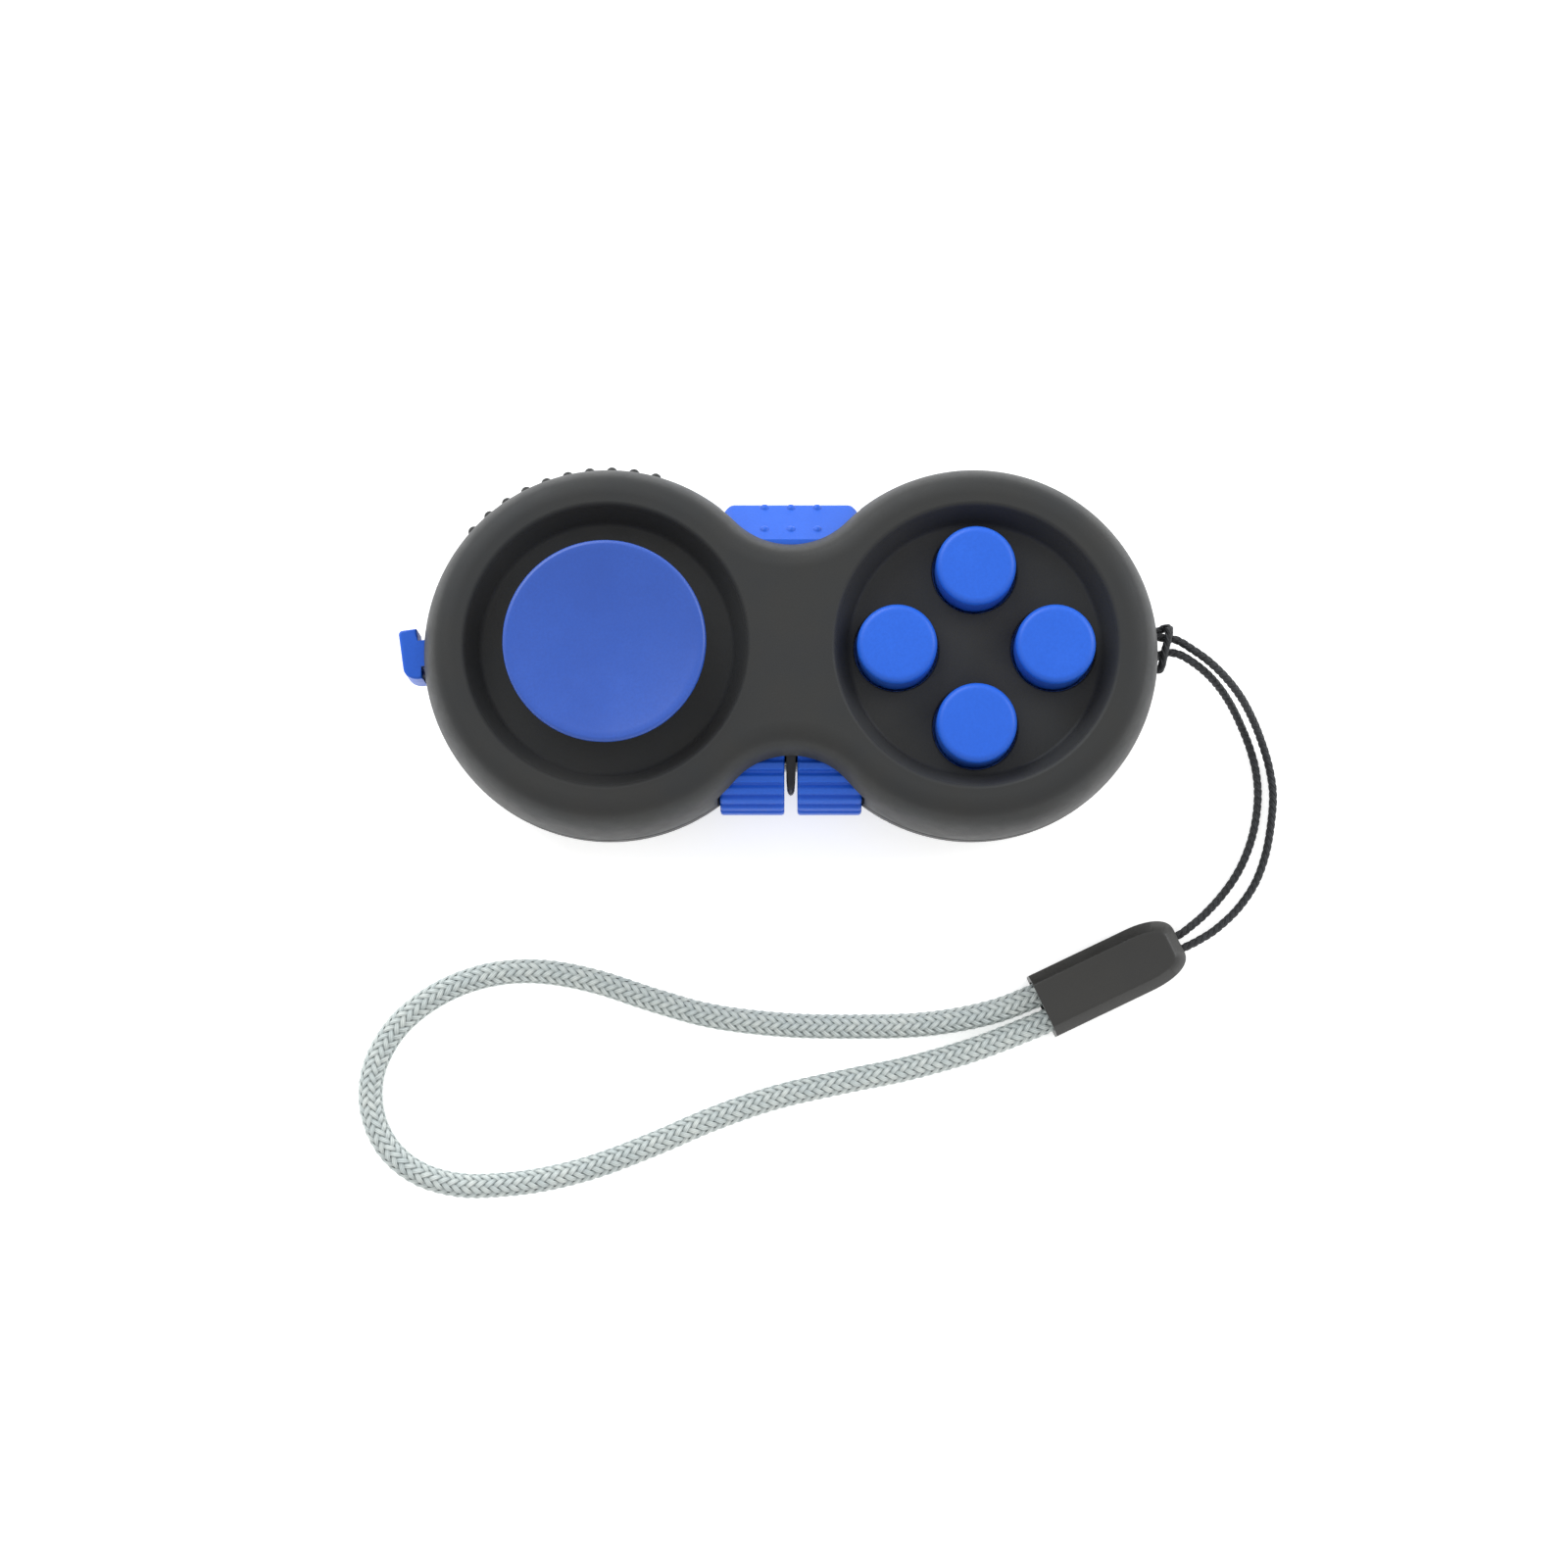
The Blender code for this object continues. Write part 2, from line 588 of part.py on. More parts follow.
def rocker_cheeks(shell, tag, low, high):
    """The two cheeks that hold the rocker's pin and its leaf spring."""
    for side in (-1, 1):
        ends = sorted((side * (HUB_HALF_LENGTH + GAP), side * ROCKER_CHEEK_END))
        corner_low = (ends[0], ROCKER_CHEEK_BACK, low)
        corner_high = (ends[1], ROCKER_CHEEK_FRONT, high)
        join(shell, box(f"{tag}_rocker_cheek_{side}", corner_low, corner_high))


def flip_posts(shell, tag, low, high):
    """The two posts that hold the flip lever's leaf spring."""
    back = FLIP_LEAF_X - LEAF_THICKNESS / 2 - 2 * GAP
    front = FLIP_LEAF_X + LEAF_THICKNESS / 2 + 2 * GAP
    far = FLIP_LEAF_HALF_LENGTH + 2 * GAP
    for side in (-1, 1):
        ends = sorted((FLIP_OFFSET + side * FLIP_POST_INNER, FLIP_OFFSET + side * far))
        join(shell, box(f"{tag}_flip_post_{side}", (back, ends[0], low), (front, ends[1], high)))


def side_openings(shell, tag):
    """Cut the openings that cross the seam: rocker, axle, pins, springs, flip lever and lanyard eyes."""
    tall = ROCKER_HALF_HEIGHT + ROCKER_ARM * math.sin(ROCKER_SWING) / 2 + GAP / 2
    wide = ROCKER_LENGTH / 2 + GAP
    window = box(
        f"{tag}_rocker_window",
        (-wide, ROCKER_BACK - ROCKER_BACK_ROOM, SEAM - tall), (wide, ROCKER_REACH + WALL, SEAM + tall),
    )
    hub_wide = HUB_HALF_LENGTH + GAP / 2
    hub_tall = HUB_HALF_HEIGHT + HUB_HALF_LENGTH * math.sin(ROCKER_SWING) + GAP
    hub_window = box(
        f"{tag}_hub_window",
        (-hub_wide, WAIST_HALF_WIDTH - WALL - GAP, SEAM - hub_tall),
        (hub_wide, WAIST_HALF_WIDTH, SEAM + hub_tall),
    )
    axle = cylinder(
        f"{tag}_axle_bore", AXLE_RADIUS + GAP,
        (-AXLE_HALF_LENGTH - WALL, AXLE_Y, SEAM), (AXLE_HALF_LENGTH + WALL, AXLE_Y, SEAM),
    )
    pin = cylinder(
        f"{tag}_rocker_bore", ROCKER_PIN_RADIUS + GAP,
        (-ROCKER_CHEEK_END - GAP, ROCKER_PIN_Y, SEAM), (ROCKER_CHEEK_END + GAP, ROCKER_PIN_Y, SEAM),
    )
    half = LEAF_THICKNESS / 2 + GAP
    tall = LEAF_HALF_HEIGHT + GAP
    reach = ROCKER_CHEEK_END - GAP
    rocker_slot = box(
        f"{tag}_rocker_leaf_slot",
        (-reach, ROCKER_LEAF_Y - half, SEAM - tall), (reach, ROCKER_LEAF_Y + half, SEAM + tall),
    )
    reach = FLIP_LEAF_HALF_LENGTH + GAP
    flip_slot = box(
        f"{tag}_flip_leaf_slot",
        (FLIP_LEAF_X - half, FLIP_OFFSET - reach, SEAM - tall),
        (FLIP_LEAF_X + half, FLIP_OFFSET + reach, SEAM + tall),
    )
    neck_room = FLIP_NECK_HALF_WIDTH + FLIP_REACH * math.sin(FLIP_TILT) / 2 + GAP
    tall = FLIP_HALF_HEIGHT + GAP
    flip_window = box(
        f"{tag}_flip_window",
        (FLIP_PIN_X - FLIP_REACH, FLIP_OFFSET - neck_room, SEAM - tall),
        (FLIP_PIN_X - FLIP_HUB / 2, FLIP_OFFSET + neck_room, SEAM + tall),
    )
    pin_place = Vector((FLIP_PIN_X, FLIP_OFFSET, SEAM))
    room = Vector((0, 0, FLIP_HALF_HEIGHT + FLIP_HUB_ROOM_RISE))
    hub_room = cylinder(f"{tag}_flip_hub_room", FLIP_HUB_ROOM, pin_place - room, pin_place + room)
    cut(shell, window, hub_window, axle, pin, rocker_slot, flip_slot, flip_window, hub_room)
    for side in (-1, 1):
        y = EYE_OFFSET + side * EYE_SPACING / 2
        inner = HALF_SPACING + CAVITY_RADIUS - WALL
        outer = HALF_SPACING + LOBE_RADIUS + WALL
        eye = cylinder(f"{tag}_eye_{side}", EYE_RADIUS, (inner, y, SEAM), (outer, y, SEAM), steps=BORE_STEPS)
        cut(shell, eye)


def side_dots(shell, tag, side):
    """Rubbing dots in rows round the left lobe's side: short studs that point away from its axis."""
    shape = bmesh.new()
    for height in SIDE_DOT_HEIGHTS:
        radius = LOBE_RADIUS - inset_at(height) + (SIDE_DOT_HEIGHT - SIDE_DOT_SINK) / 2
        for column in range(SIDE_DOT_COLUMNS):
            angle = math.radians(SIDE_DOT_FIRST_ANGLE + SIDE_DOT_ANGLE_STEP * column)
            place = Matrix.Translation(polar(LEFT, radius, angle, SEAM + side * height))
            outward = Matrix.Rotation(angle, 4, "Z") @ Matrix.Rotation(math.pi / 2, 4, "Y")
            bmesh.ops.create_cone(
                shape, cap_ends=True, segments=6, radius1=SIDE_DOT_RADIUS, radius2=SIDE_DOT_RADIUS / 2,
                depth=SIDE_DOT_HEIGHT + SIDE_DOT_SINK, matrix=place @ outward,
            )
    join(shell, mesh_object(f"{tag}_side_dots", shape))


# Shells

def recess_profile():
    """Profile of a face recess: rounded rim, sloping side, small fillet and flat floor."""
    crest = RECESS_RIM_RADIUS + RIM_ROUND
    start = TOP + RIM_ROUND / 50
    profile = [(0, TOP + WALL), (crest + WALL / 2, TOP + WALL)]
    for angle in quarter(4):
        profile.append((crest - RIM_ROUND * math.sin(angle), start - RIM_ROUND * (1 - math.cos(angle))))
    profile.append((RECESS_FLOOR_RADIUS + RECESS_FILLET / 2, FACE + RECESS_FILLET * 1.5))
    profile.append((RECESS_FLOOR_RADIUS - RECESS_FILLET, FACE))
    profile.append((0, FACE))
    return profile


def button_places():
    """Names and axes of the four buttons."""
    names = ("button_east", "button_north", "button_west", "button_south")
    return [(name, polar(RIGHT, BUTTON_RING_RADIUS, index * math.pi / 2)) for index, name in enumerate(names)]


def top_shell():
    """Face half of the body, with both recesses and the bosses that hang from its roof."""
    shell = half_body("top_shell", 1)
    low = SEAM + SEAM_GAP / 2
    high = CEILING + FACE_PLATE / 2
    cavity = lofted("top_cavity", [outline_ring(WALL, SEAM - WALL), outline_ring(WALL, CEILING)])
    cut(shell, cavity)
    bosses = [(f"guide_boss_{n}", place, GUIDE_TOP + GAP) for n, place in enumerate(plate_boss_places(LEFT))]
    bottom = max(CARRIER_TOP + GAP, low)
    bosses += [(f"carrier_boss_{n}", place, bottom) for n, place in enumerate(plate_boss_places(RIGHT))]
    for name, place, bottom in bosses:
        join(shell, cylinder(name, BOSS_RADIUS, at_height(place, bottom), at_height(place, high)))
    for index, place in enumerate(shell_boss_places()):
        boss = cylinder(f"top_boss_{index}", SHELL_BOSS_RADIUS, at_height(place, low), at_height(place, high))
        join(shell, boss)
    roller_cheeks(shell, "top", low, high)
    rocker_cheeks(shell, "top", low, high)
    flip_posts(shell, "top", low, high)
    pin_place = Vector((FLIP_PIN_X, FLIP_OFFSET, 0))
    boss_bottom = at_height(pin_place, SEAM + FLIP_HALF_HEIGHT + GAP)
    join(shell, cylinder("top_flip_boss", FLIP_BOSS_RADIUS, boss_bottom, at_height(pin_place, high)))
    cut(shell, turned("stick_recess", recess_profile(), LEFT, steps=WIDE_STEPS))
    cut(shell, turned("button_recess", recess_profile(), RIGHT, steps=WIDE_STEPS))
    holes = [("stem", LEFT, STEM_HOLE_RADIUS)]
    holes += [(name, place, BUTTON_RADIUS + GAP) for name, place in button_places()]
    for name, place, radius in holes:
        ends = (at_height(place, SEAM), at_height(place, TOP))
        cut(shell, cylinder(f"{name}_hole", radius, *ends, steps=ROUND_STEPS))
    roller_bay(shell, "top")
    roller_web(shell, "top", 1)
    side_openings(shell, "top")
    bores = [(place, GUIDE_TOP) for place in plate_boss_places(LEFT)]
    bores += [(place, CARRIER_TOP) for place in plate_boss_places(RIGHT)]
    bores += [(place, SEAM) for place in shell_boss_places()]
    for index, (place, start) in enumerate(bores):
        ends = (at_height(place, start - WALL), at_height(place, max(start, SEAM) + THREAD_DEPTH))
        cut(shell, cylinder(f"top_bore_{index}", SHANK_CLEARANCE, *ends, steps=BORE_STEPS))
    ends = (at_height(pin_place, SEAM), at_height(pin_place, CEILING + GAP))
    cut(shell, cylinder("top_flip_bore", FLIP_PIN_RADIUS + GAP, *ends, steps=BORE_STEPS))
    side_dots(shell, "top", 1)
    return shell


def dish_profile():
    """Profile of the shallow thumb dish in the rest face."""
    curve_radius = (DISH_RADIUS ** 2 + DISH_DEPTH ** 2) / (2 * DISH_DEPTH)
    profile = [(0, DISH_DEPTH)]
    steps = 8
    for step in range(1, steps + 2):
        radius = DISH_RADIUS * (step + DISH_OVERRUN) / steps
        profile.append((radius, DISH_DEPTH - curve_radius + math.sqrt(curve_radius ** 2 - radius ** 2)))
    profile.append((profile[-1][0], -WALL))
    profile.append((0, -WALL))
    return profile


def bottom_shell():
    """Back half of the body, with the dial's recess, the thumb dish and the screw holes."""
    shell = half_body("bottom_shell", -1)
    low = INNER_FLOOR - FLOOR_PLATE / 2
    high = SEAM - SEAM_GAP / 2
    cavity = lofted("bottom_cavity", [outline_ring(WALL, INNER_FLOOR), outline_ring(WALL, SEAM + WALL)])
    cut(shell, cavity)
    for index, place in enumerate(shell_boss_places()):
        ends = (at_height(place, low), at_height(place, high))
        join(shell, cylinder(f"bottom_boss_{index}", SHELL_BOSS_RADIUS, *ends))
    roller_cheeks(shell, "bottom", low, high)
    rocker_cheeks(shell, "bottom", low, high)
    flip_posts(shell, "bottom", low, high)
    pin_place = Vector((FLIP_PIN_X, FLIP_OFFSET, 0))
    boss_top = at_height(pin_place, SEAM - FLIP_HALF_HEIGHT - GAP)
    join(shell, cylinder("bottom_flip_boss", FLIP_BOSS_RADIUS, at_height(pin_place, low), boss_top))
    roller_bay(shell, "bottom")
    roller_web(shell, "bottom", -1)
    side_openings(shell, "bottom")
    for index, place in enumerate(shell_boss_places()):
        seat = at_height(place, COUNTERBORE_DEPTH)
        counterbore = cylinder(f"counterbore_{index}", HEAD_CLEARANCE, at_height(place, -WALL), seat)
        ends = (at_height(place, 0), at_height(place, TOP))
        cut(shell, counterbore, cylinder(f"bottom_bore_{index}", SHANK_CLEARANCE, *ends, steps=BORE_STEPS))
    ends = (at_height(pin_place, INNER_FLOOR + GAP), at_height(pin_place, SEAM))
    cut(shell, cylinder("bottom_flip_bore", FLIP_PIN_RADIUS + GAP, *ends, steps=BORE_STEPS))
    recess_radius = DIAL_RADIUS + DIAL_RECESS_GAP
    rim = [
        (0, DIAL_RECESS_DEPTH), (recess_radius, DIAL_RECESS_DEPTH), (recess_radius, GAP),
        (recess_radius + WALL, -WALL + GAP), (0, -WALL + GAP),
    ]
    cut(shell, turned("dial_recess", rim, LEFT, steps=WIDE_STEPS))
    ends = (at_height(LEFT, 0), at_height(LEFT, SEAM))
    cut(shell, cylinder("dial_hole", DIAL_HUB_RADIUS + GAP, *ends, steps=ROUND_STEPS))
    cut(shell, turned("thumb_dish", dish_profile(), RIGHT, steps=WIDE_STEPS))
    side_dots(shell, "bottom", -1)
    return shell


# Fasteners

def screw(name, place, seat, reach, upward=True):
    """A pan-head screw whose head touches the seat height and whose shank goes on by reach."""
    way = 1 if upward else -1
    head = HEAD_RADIUS
    crown = head * HEAD_CROWN_SHARE
    profile = [
        (0, reach), (SHANK_RADIUS / 2, reach), (SHANK_RADIUS, reach - SHANK_RADIUS), (SHANK_RADIUS, 0),
        (head, 0), (head, -HEAD_EDGE), (crown, -HEAD_HEIGHT), (0, -HEAD_HEIGHT),
    ]
    turn = (0, 0, 0) if way == 1 else (math.pi, 0, 0)
    return turned(name, profile, at_height(place, seat), STEEL, turn, steps=SMALL_STEPS)


def shell_screws():
    """Four screws that hold the shells together, from the back."""
    for index, place in enumerate(shell_boss_places()):
        seat = COUNTERBORE_DEPTH - GAP
        screw(f"shell_screw_{index + 1}", place, seat, SEAM + THREAD_DEPTH - 2 * GAP - seat)


# Glide stick

def stick():
    """Cap, retainer and screw that glide together, the cross slide under them and the guide plate."""
    cap_top = TOP + CAP_RISE
    dish_steps = 5
    profile = []
    for step in range(dish_steps + 1):
        share = step / dish_steps
        profile.append((CAP_CREST * share, cap_top - CAP_DISH * (1 - share ** 2)))
    profile += [
        (CAP_SHOULDER, cap_top - CAP_EDGE_DROP), (CAP_RADIUS, cap_top - CAP_EDGE / 2),
        (CAP_SHOULDER, cap_top - CAP_EDGE), (CAP_FLARE, cap_top - CAP_NECK),
        (STEM_RADIUS, cap_top - CAP_NECK_FOOT), (STEM_RADIUS, CEILING), (0, CEILING),
    ]
    cap = turned("stick_cap", profile, LEFT, BLUE, steps=WIDE_STEPS)
    bore_end = at_height(LEFT, FACE + FACE_PLATE)
    cut(cap, cylinder("stick_bore", SHANK_CLEARANCE, at_height(LEFT, SEAM), bore_end, steps=BORE_STEPS))

    retainer = cylinder(
        "stick_retainer", RETAINER_RADIUS, at_height(LEFT, RETAINER_BOTTOM), at_height(LEFT, RETAINER_TOP),
        PALE_PLASTIC, ROUND_STEPS,
    )
    half_key = KEY_WIDTH / 2 + GAP
    groove = box(
        "retainer_groove",
        (LEFT.x - half_key, -RETAINER_RADIUS - WALL, RETAINER_BOTTOM - WALL),
        (LEFT.x + half_key, RETAINER_RADIUS + WALL, RETAINER_BOTTOM + KEY_HEIGHT),
    )
    hole_low = at_height(LEFT, SEAM)
    hole = cylinder("retainer_hole", SHANK_CLEARANCE, hole_low, at_height(LEFT, TOP), steps=BORE_STEPS)
    cut(retainer, groove, hole)
    screw("stick_screw", LEFT, RETAINER_BOTTOM - GAP, CEILING - RETAINER_BOTTOM + THREAD_DEPTH - FACE_PLATE)

    slide = turned(
        "cross_slide",
        [
            (SLIDE_HOLE_RADIUS, SLIDE_TOP), (SLIDE_RADIUS, SLIDE_TOP),
            (SLIDE_RADIUS, SLIDE_BOTTOM), (SLIDE_HOLE_RADIUS, SLIDE_BOTTOM),
        ],
        LEFT, PALE_PLASTIC, ring=True,
    )
    inner = SLIDE_HOLE_RADIUS + GAP
    outer = SLIDE_RADIUS - GAP
    half_key = KEY_WIDTH / 2
    middle = (SLIDE_TOP + SLIDE_BOTTOM) / 2
    for side in (-1, 1):
        ends = sorted((side * inner, side * outer))
        top_key = box(
            f"top_key_{side}",
            (LEFT.x - half_key, ends[0], middle), (LEFT.x + half_key, ends[1], SLIDE_TOP + KEY_HEIGHT),
        )
        bottom_key = box(
            f"bottom_key_{side}",
            (LEFT.x + ends[0], -half_key, SLIDE_BOTTOM - KEY_HEIGHT), (LEFT.x + ends[1], half_key, middle),
        )
        join(slide, top_key, bottom_key)

    guide = inner_plate("guide_plate", LEFT, GUIDE_RADIUS, GUIDE_BOTTOM, GUIDE_TOP)
    half_key = KEY_WIDTH / 2 + GAP
    track = box(
        "guide_track",
        (LEFT.x - GUIDE_RADIUS - WALL, -half_key, GUIDE_TOP - KEY_HEIGHT),
        (LEFT.x + GUIDE_RADIUS + WALL, half_key, TOP),
    )
    cut(guide, track)
    for index, place in enumerate(plate_boss_places(LEFT)):
        screw(f"guide_screw_{index + 1}", place, GUIDE_BOTTOM - GAP, GUIDE_THICKNESS + THREAD_DEPTH - GAP)


def inner_plate(name, centre, radius, low, high):
    """A round plate with a full-thickness ear at each boss, screwed under the top shell."""
    disc_low = at_height(centre, low + PLATE_STEP)
    plate = cylinder(name, radius, disc_low, at_height(centre, high - PLATE_STEP), PALE_PLASTIC, ROUND_STEPS)
    for index, place in enumerate(plate_boss_places(centre)):
        away = place - centre
        start = away.normalized() * radius * ARM_START_SHARE
        arm_size = (away.length - start.length, 2 * BOSS_RADIUS - PLATE_STEP, high - low - PLATE_STEP)
        shape = bmesh.new()
        bmesh.ops.create_cube(shape, size=1.0)
        bmesh.ops.scale(shape, verts=shape.verts, vec=arm_size)
        turn = Matrix.Rotation(math.atan2(away.y, away.x), 4, "Z")
        shift = Matrix.Translation(centre + (start + away) / 2 + Vector((0, 0, (low + high) / 2)))
        bmesh.ops.transform(shape, matrix=shift @ turn, verts=shape.verts)
        arm = mesh_object(f"{name}_arm_{index}", shape)
        ear = cylinder(f"{name}_ear_{index}", BOSS_RADIUS, at_height(place, low), at_height(place, high))
        join(plate, arm, ear)
        ends = (at_height(place, low - WALL), at_height(place, high + WALL))
        cut(plate, cylinder(f"{name}_hole_{index}", SHANK_CLEARANCE, *ends, steps=BORE_STEPS))
    return plate


# Buttons

def buttons():
    """Four caps, the silicone dome under each and the carrier plate that the domes stand on."""
    top = TOP + BUTTON_RISE
    cap_profile = [(0, top)]
    for angle in quarter(3):
        radius = BUTTON_RADIUS - BUTTON_EDGE_ROUND * (1 - math.sin(angle))
        cap_profile.append((radius, top - BUTTON_EDGE_ROUND * (1 - math.cos(angle))))
    cap_profile += [
        (BUTTON_RADIUS, FLANGE_TOP), (FLANGE_RADIUS, FLANGE_TOP), (FLANGE_RADIUS, FLANGE_BOTTOM),
        (0, FLANGE_BOTTOM),
    ]
    plunger = DOME_RADIUS / 2
    shoulder = DOME_RADIUS - DOME_FOOT
    hollow_top = DOME_TOP - DOME_CROWN - DOME_SKIN
    dome_profile = [
        (0, DOME_TOP), (plunger, DOME_TOP), (plunger, DOME_TOP - DOME_CROWN),
        (shoulder, DOME_BOTTOM + DOME_FOOT * 1.2), (DOME_RADIUS, DOME_BOTTOM + DOME_FOOT),
        (DOME_RADIUS, DOME_BOTTOM), (shoulder - DOME_SKIN, DOME_BOTTOM),
        (plunger - DOME_SKIN, hollow_top), (0, hollow_top),
    ]
    for name, place in button_places():
        turned(f"{name}_cap", cap_profile, place, BLUE, steps=ROUND_STEPS)
        turned(f"{name}_dome", dome_profile, place, SILICONE, steps=SMALL_STEPS)
    inner_plate("button_carrier", RIGHT, CARRIER_RADIUS, CARRIER_BOTTOM, CARRIER_TOP)
    length = SEAM + THREAD_DEPTH - GAP - CARRIER_BOTTOM
    for index, place in enumerate(plate_boss_places(RIGHT)):
        screw(f"carrier_screw_{index + 1}", place, CARRIER_BOTTOM - GAP, length)


# Rocker

def rocker():
    """Dotted rocker on its pin, with the leaf spring that centres it."""
    axis = Vector((0, ROCKER_PIN_Y, SEAM))
    half = ROCKER_LENGTH / 2
    rings = []
    for x, nose in (
        (-half, ROCKER_REACH - ROCKER_CORNER), (-half + ROCKER_CORNER, ROCKER_REACH),
        (half - ROCKER_CORNER, ROCKER_REACH), (half, ROCKER_REACH - ROCKER_CORNER),
    ):
        section = [
            (ROCKER_BACK, -ROCKER_HALF_HEIGHT), (ROCKER_BACK + ROCKER_CORNER, -ROCKER_HALF_HEIGHT),
            (nose, -ROCKER_NOSE_HALF), (nose, ROCKER_NOSE_HALF),
            (ROCKER_BACK + ROCKER_CORNER, ROCKER_HALF_HEIGHT), (ROCKER_BACK, ROCKER_HALF_HEIGHT),
        ]
        rings.append([(x, y, SEAM + z) for y, z in section])
    pad = lofted("rocker", rings, BLUE, axis)
    hub = box(
        "rocker_hub",
        (-HUB_HALF_LENGTH, ROCKER_PIN_Y - HUB_BACK, SEAM - HUB_HALF_HEIGHT),
        (HUB_HALF_LENGTH, ROCKER_BACK + ROCKER_CORNER, SEAM + HUB_HALF_HEIGHT),
    )
    bore = cylinder(
        "rocker_hub_bore", ROCKER_PIN_RADIUS + GAP, (-half, ROCKER_PIN_Y, SEAM), (half, ROCKER_PIN_Y, SEAM)
    )
    join(pad, hub)
    cut(pad, bore)
    start = Vector((0, ROCKER_BACK + ROCKER_CORNER, ROCKER_HALF_HEIGHT))
    end = Vector((0, ROCKER_REACH, ROCKER_NOSE_HALF))
    slope = (end - start).normalized()
    outward = Vector((0, -slope.z, slope.y))
    centres = []
    for share in ROCKER_DOT_ROWS:
        spot = start.lerp(end, share) - outward * (DOT_RADIUS - DOT_HEIGHT)
        for column in (-1, 0, 1):
            for side in (-1, 1):
                centres.append(Vector((column * DOT_PITCH, spot.y, SEAM + side * spot.z)))
    join(pad, beads("rocker_dots", centres, DOT_RADIUS))
    reach = ROCKER_CHEEK_END - 2 * GAP
    pin_end = Vector((reach, ROCKER_PIN_Y, SEAM))
    cylinder("rocker_pin", ROCKER_PIN_RADIUS, (-reach, ROCKER_PIN_Y, SEAM), pin_end, STEEL)
    thin = LEAF_THICKNESS / 2
    box(
        "rocker_leaf",
        (-reach, ROCKER_LEAF_Y - thin, SEAM - LEAF_HALF_HEIGHT),
        (reach, ROCKER_LEAF_Y + thin, SEAM + LEAF_HALF_HEIGHT),
        STEEL,
    )


# Rollers

def ribbed_ring(x, shrink):
    """One ribbed cross-section of a roller, drawn in by shrink."""
    crest = ROLLER_RADIUS - shrink
    root = crest - RIB_DEPTH
    section = ((0.0, root), (RIB_ROOT_END, root), (RIB_CREST_START, crest), (RIB_CREST_END, crest))
    points = []
    for rib in range(ROLLER_RIBS):
        for share, radius in section:
            angle = math.tau * (rib + share) / ROLLER_RIBS
            points.append((x, AXLE_Y + radius * math.cos(angle), SEAM + radius * math.sin(angle)))
    return points


def rollers():
    """Two ribbed rollers that turn on one axle."""
    axis = (0, AXLE_Y, SEAM)
    for name, side in (("roller_left", -1), ("roller_right", 1)):
        rings = [
            ribbed_ring(side * ROLLER_START, ROLLER_CHAMFER),
            ribbed_ring(side * (ROLLER_START + ROLLER_CHAMFER), 0),
            ribbed_ring(side * (ROLLER_END - ROLLER_CHAMFER), 0),
            ribbed_ring(side * ROLLER_END, ROLLER_CHAMFER),
        ]
        roller = lofted(name, rings, BLUE, axis)
        bore_ends = ((side * WEB_THICKNESS / 4, AXLE_Y, SEAM), (side * (ROLLER_END + WALL), AXLE_Y, SEAM))
        cut(roller, cylinder(f"{name}_bore", AXLE_RADIUS + GAP, *bore_ends))
    axle_end = Vector((AXLE_HALF_LENGTH, AXLE_Y, SEAM))
    cylinder("roller_axle", AXLE_RADIUS, (-AXLE_HALF_LENGTH, AXLE_Y, SEAM), axle_end, STEEL)


# Flip lever

def flip_lever():
    """Two-position lever on its pin, with the leaf spring that holds it either way."""
    outer = -FLIP_REACH
    inner = outer + FLIP_HEAD_LENGTH
    wide = FLIP_HEAD_HALF_WIDTH
    neck = FLIP_NECK_HALF_WIDTH
    flat = FLIP_HUB
    back = -flat * FLIP_HUB_BACK
    shoulder = flat * FLIP_HUB_SHOULDER
    outline = [(inner, wide), (outer + FLIP_CORNER, wide), (outer, wide - FLIP_CORNER)]
    rise = FLIP_HEAD_LENGTH * FLIP_HOOK_SHARE
    for angle in quarter(4):
        x = inner - FLIP_HEAD_LENGTH * math.cos(angle) ** FLIP_HOOK_FULLNESS
        outline.append((x, -wide + rise - rise * math.sin(angle)))
    outline[-1] = (inner, -wide)
    outline += [(inner, -neck), (back, -neck), (0, -flat), (flat, -shoulder)]
    outline += [(flat / math.cos(FLIP_TILT), 0), (flat, shoulder), (0, flat), (back, neck), (inner, neck)]
    shape = bmesh.new()
    loop = [shape.verts.new((x, y, -FLIP_HALF_HEIGHT)) for x, y in outline]
    face = shape.faces.new(loop)
    raised = bmesh.ops.extrude_face_region(shape, geom=[face])
    lifted = [item for item in raised["geom"] if isinstance(item, bmesh.types.BMVert)]
    bmesh.ops.translate(shape, verts=lifted, vec=(0, 0, 2 * FLIP_HALF_HEIGHT))
    lever = mesh_object("flip_lever", shape, BLUE)
    pin_place = Vector((FLIP_PIN_X, FLIP_OFFSET, SEAM))
    lever.location = pin_place
    lever.rotation_euler = (0, 0, FLIP_TILT)
    bore_low = at_height(pin_place, 0)
    bore_high = at_height(pin_place, TOP)
    bore = cylinder("flip_lever_bore", FLIP_PIN_RADIUS + GAP, bore_low, bore_high, steps=BORE_STEPS)
    cut(lever, bore)
    pin_low = at_height(pin_place, INNER_FLOOR + 2 * GAP)
    cylinder("flip_pin", FLIP_PIN_RADIUS, pin_low, at_height(pin_place, CEILING), STEEL)
    thin = LEAF_THICKNESS / 2
    reach = FLIP_LEAF_HALF_LENGTH
    box(
        "flip_leaf",
        (FLIP_LEAF_X - thin, FLIP_OFFSET - reach, SEAM - LEAF_HALF_HEIGHT),
        (FLIP_LEAF_X + thin, FLIP_OFFSET + reach, SEAM + LEAF_HALF_HEIGHT),
        STEEL,
    )


# Dial on the back

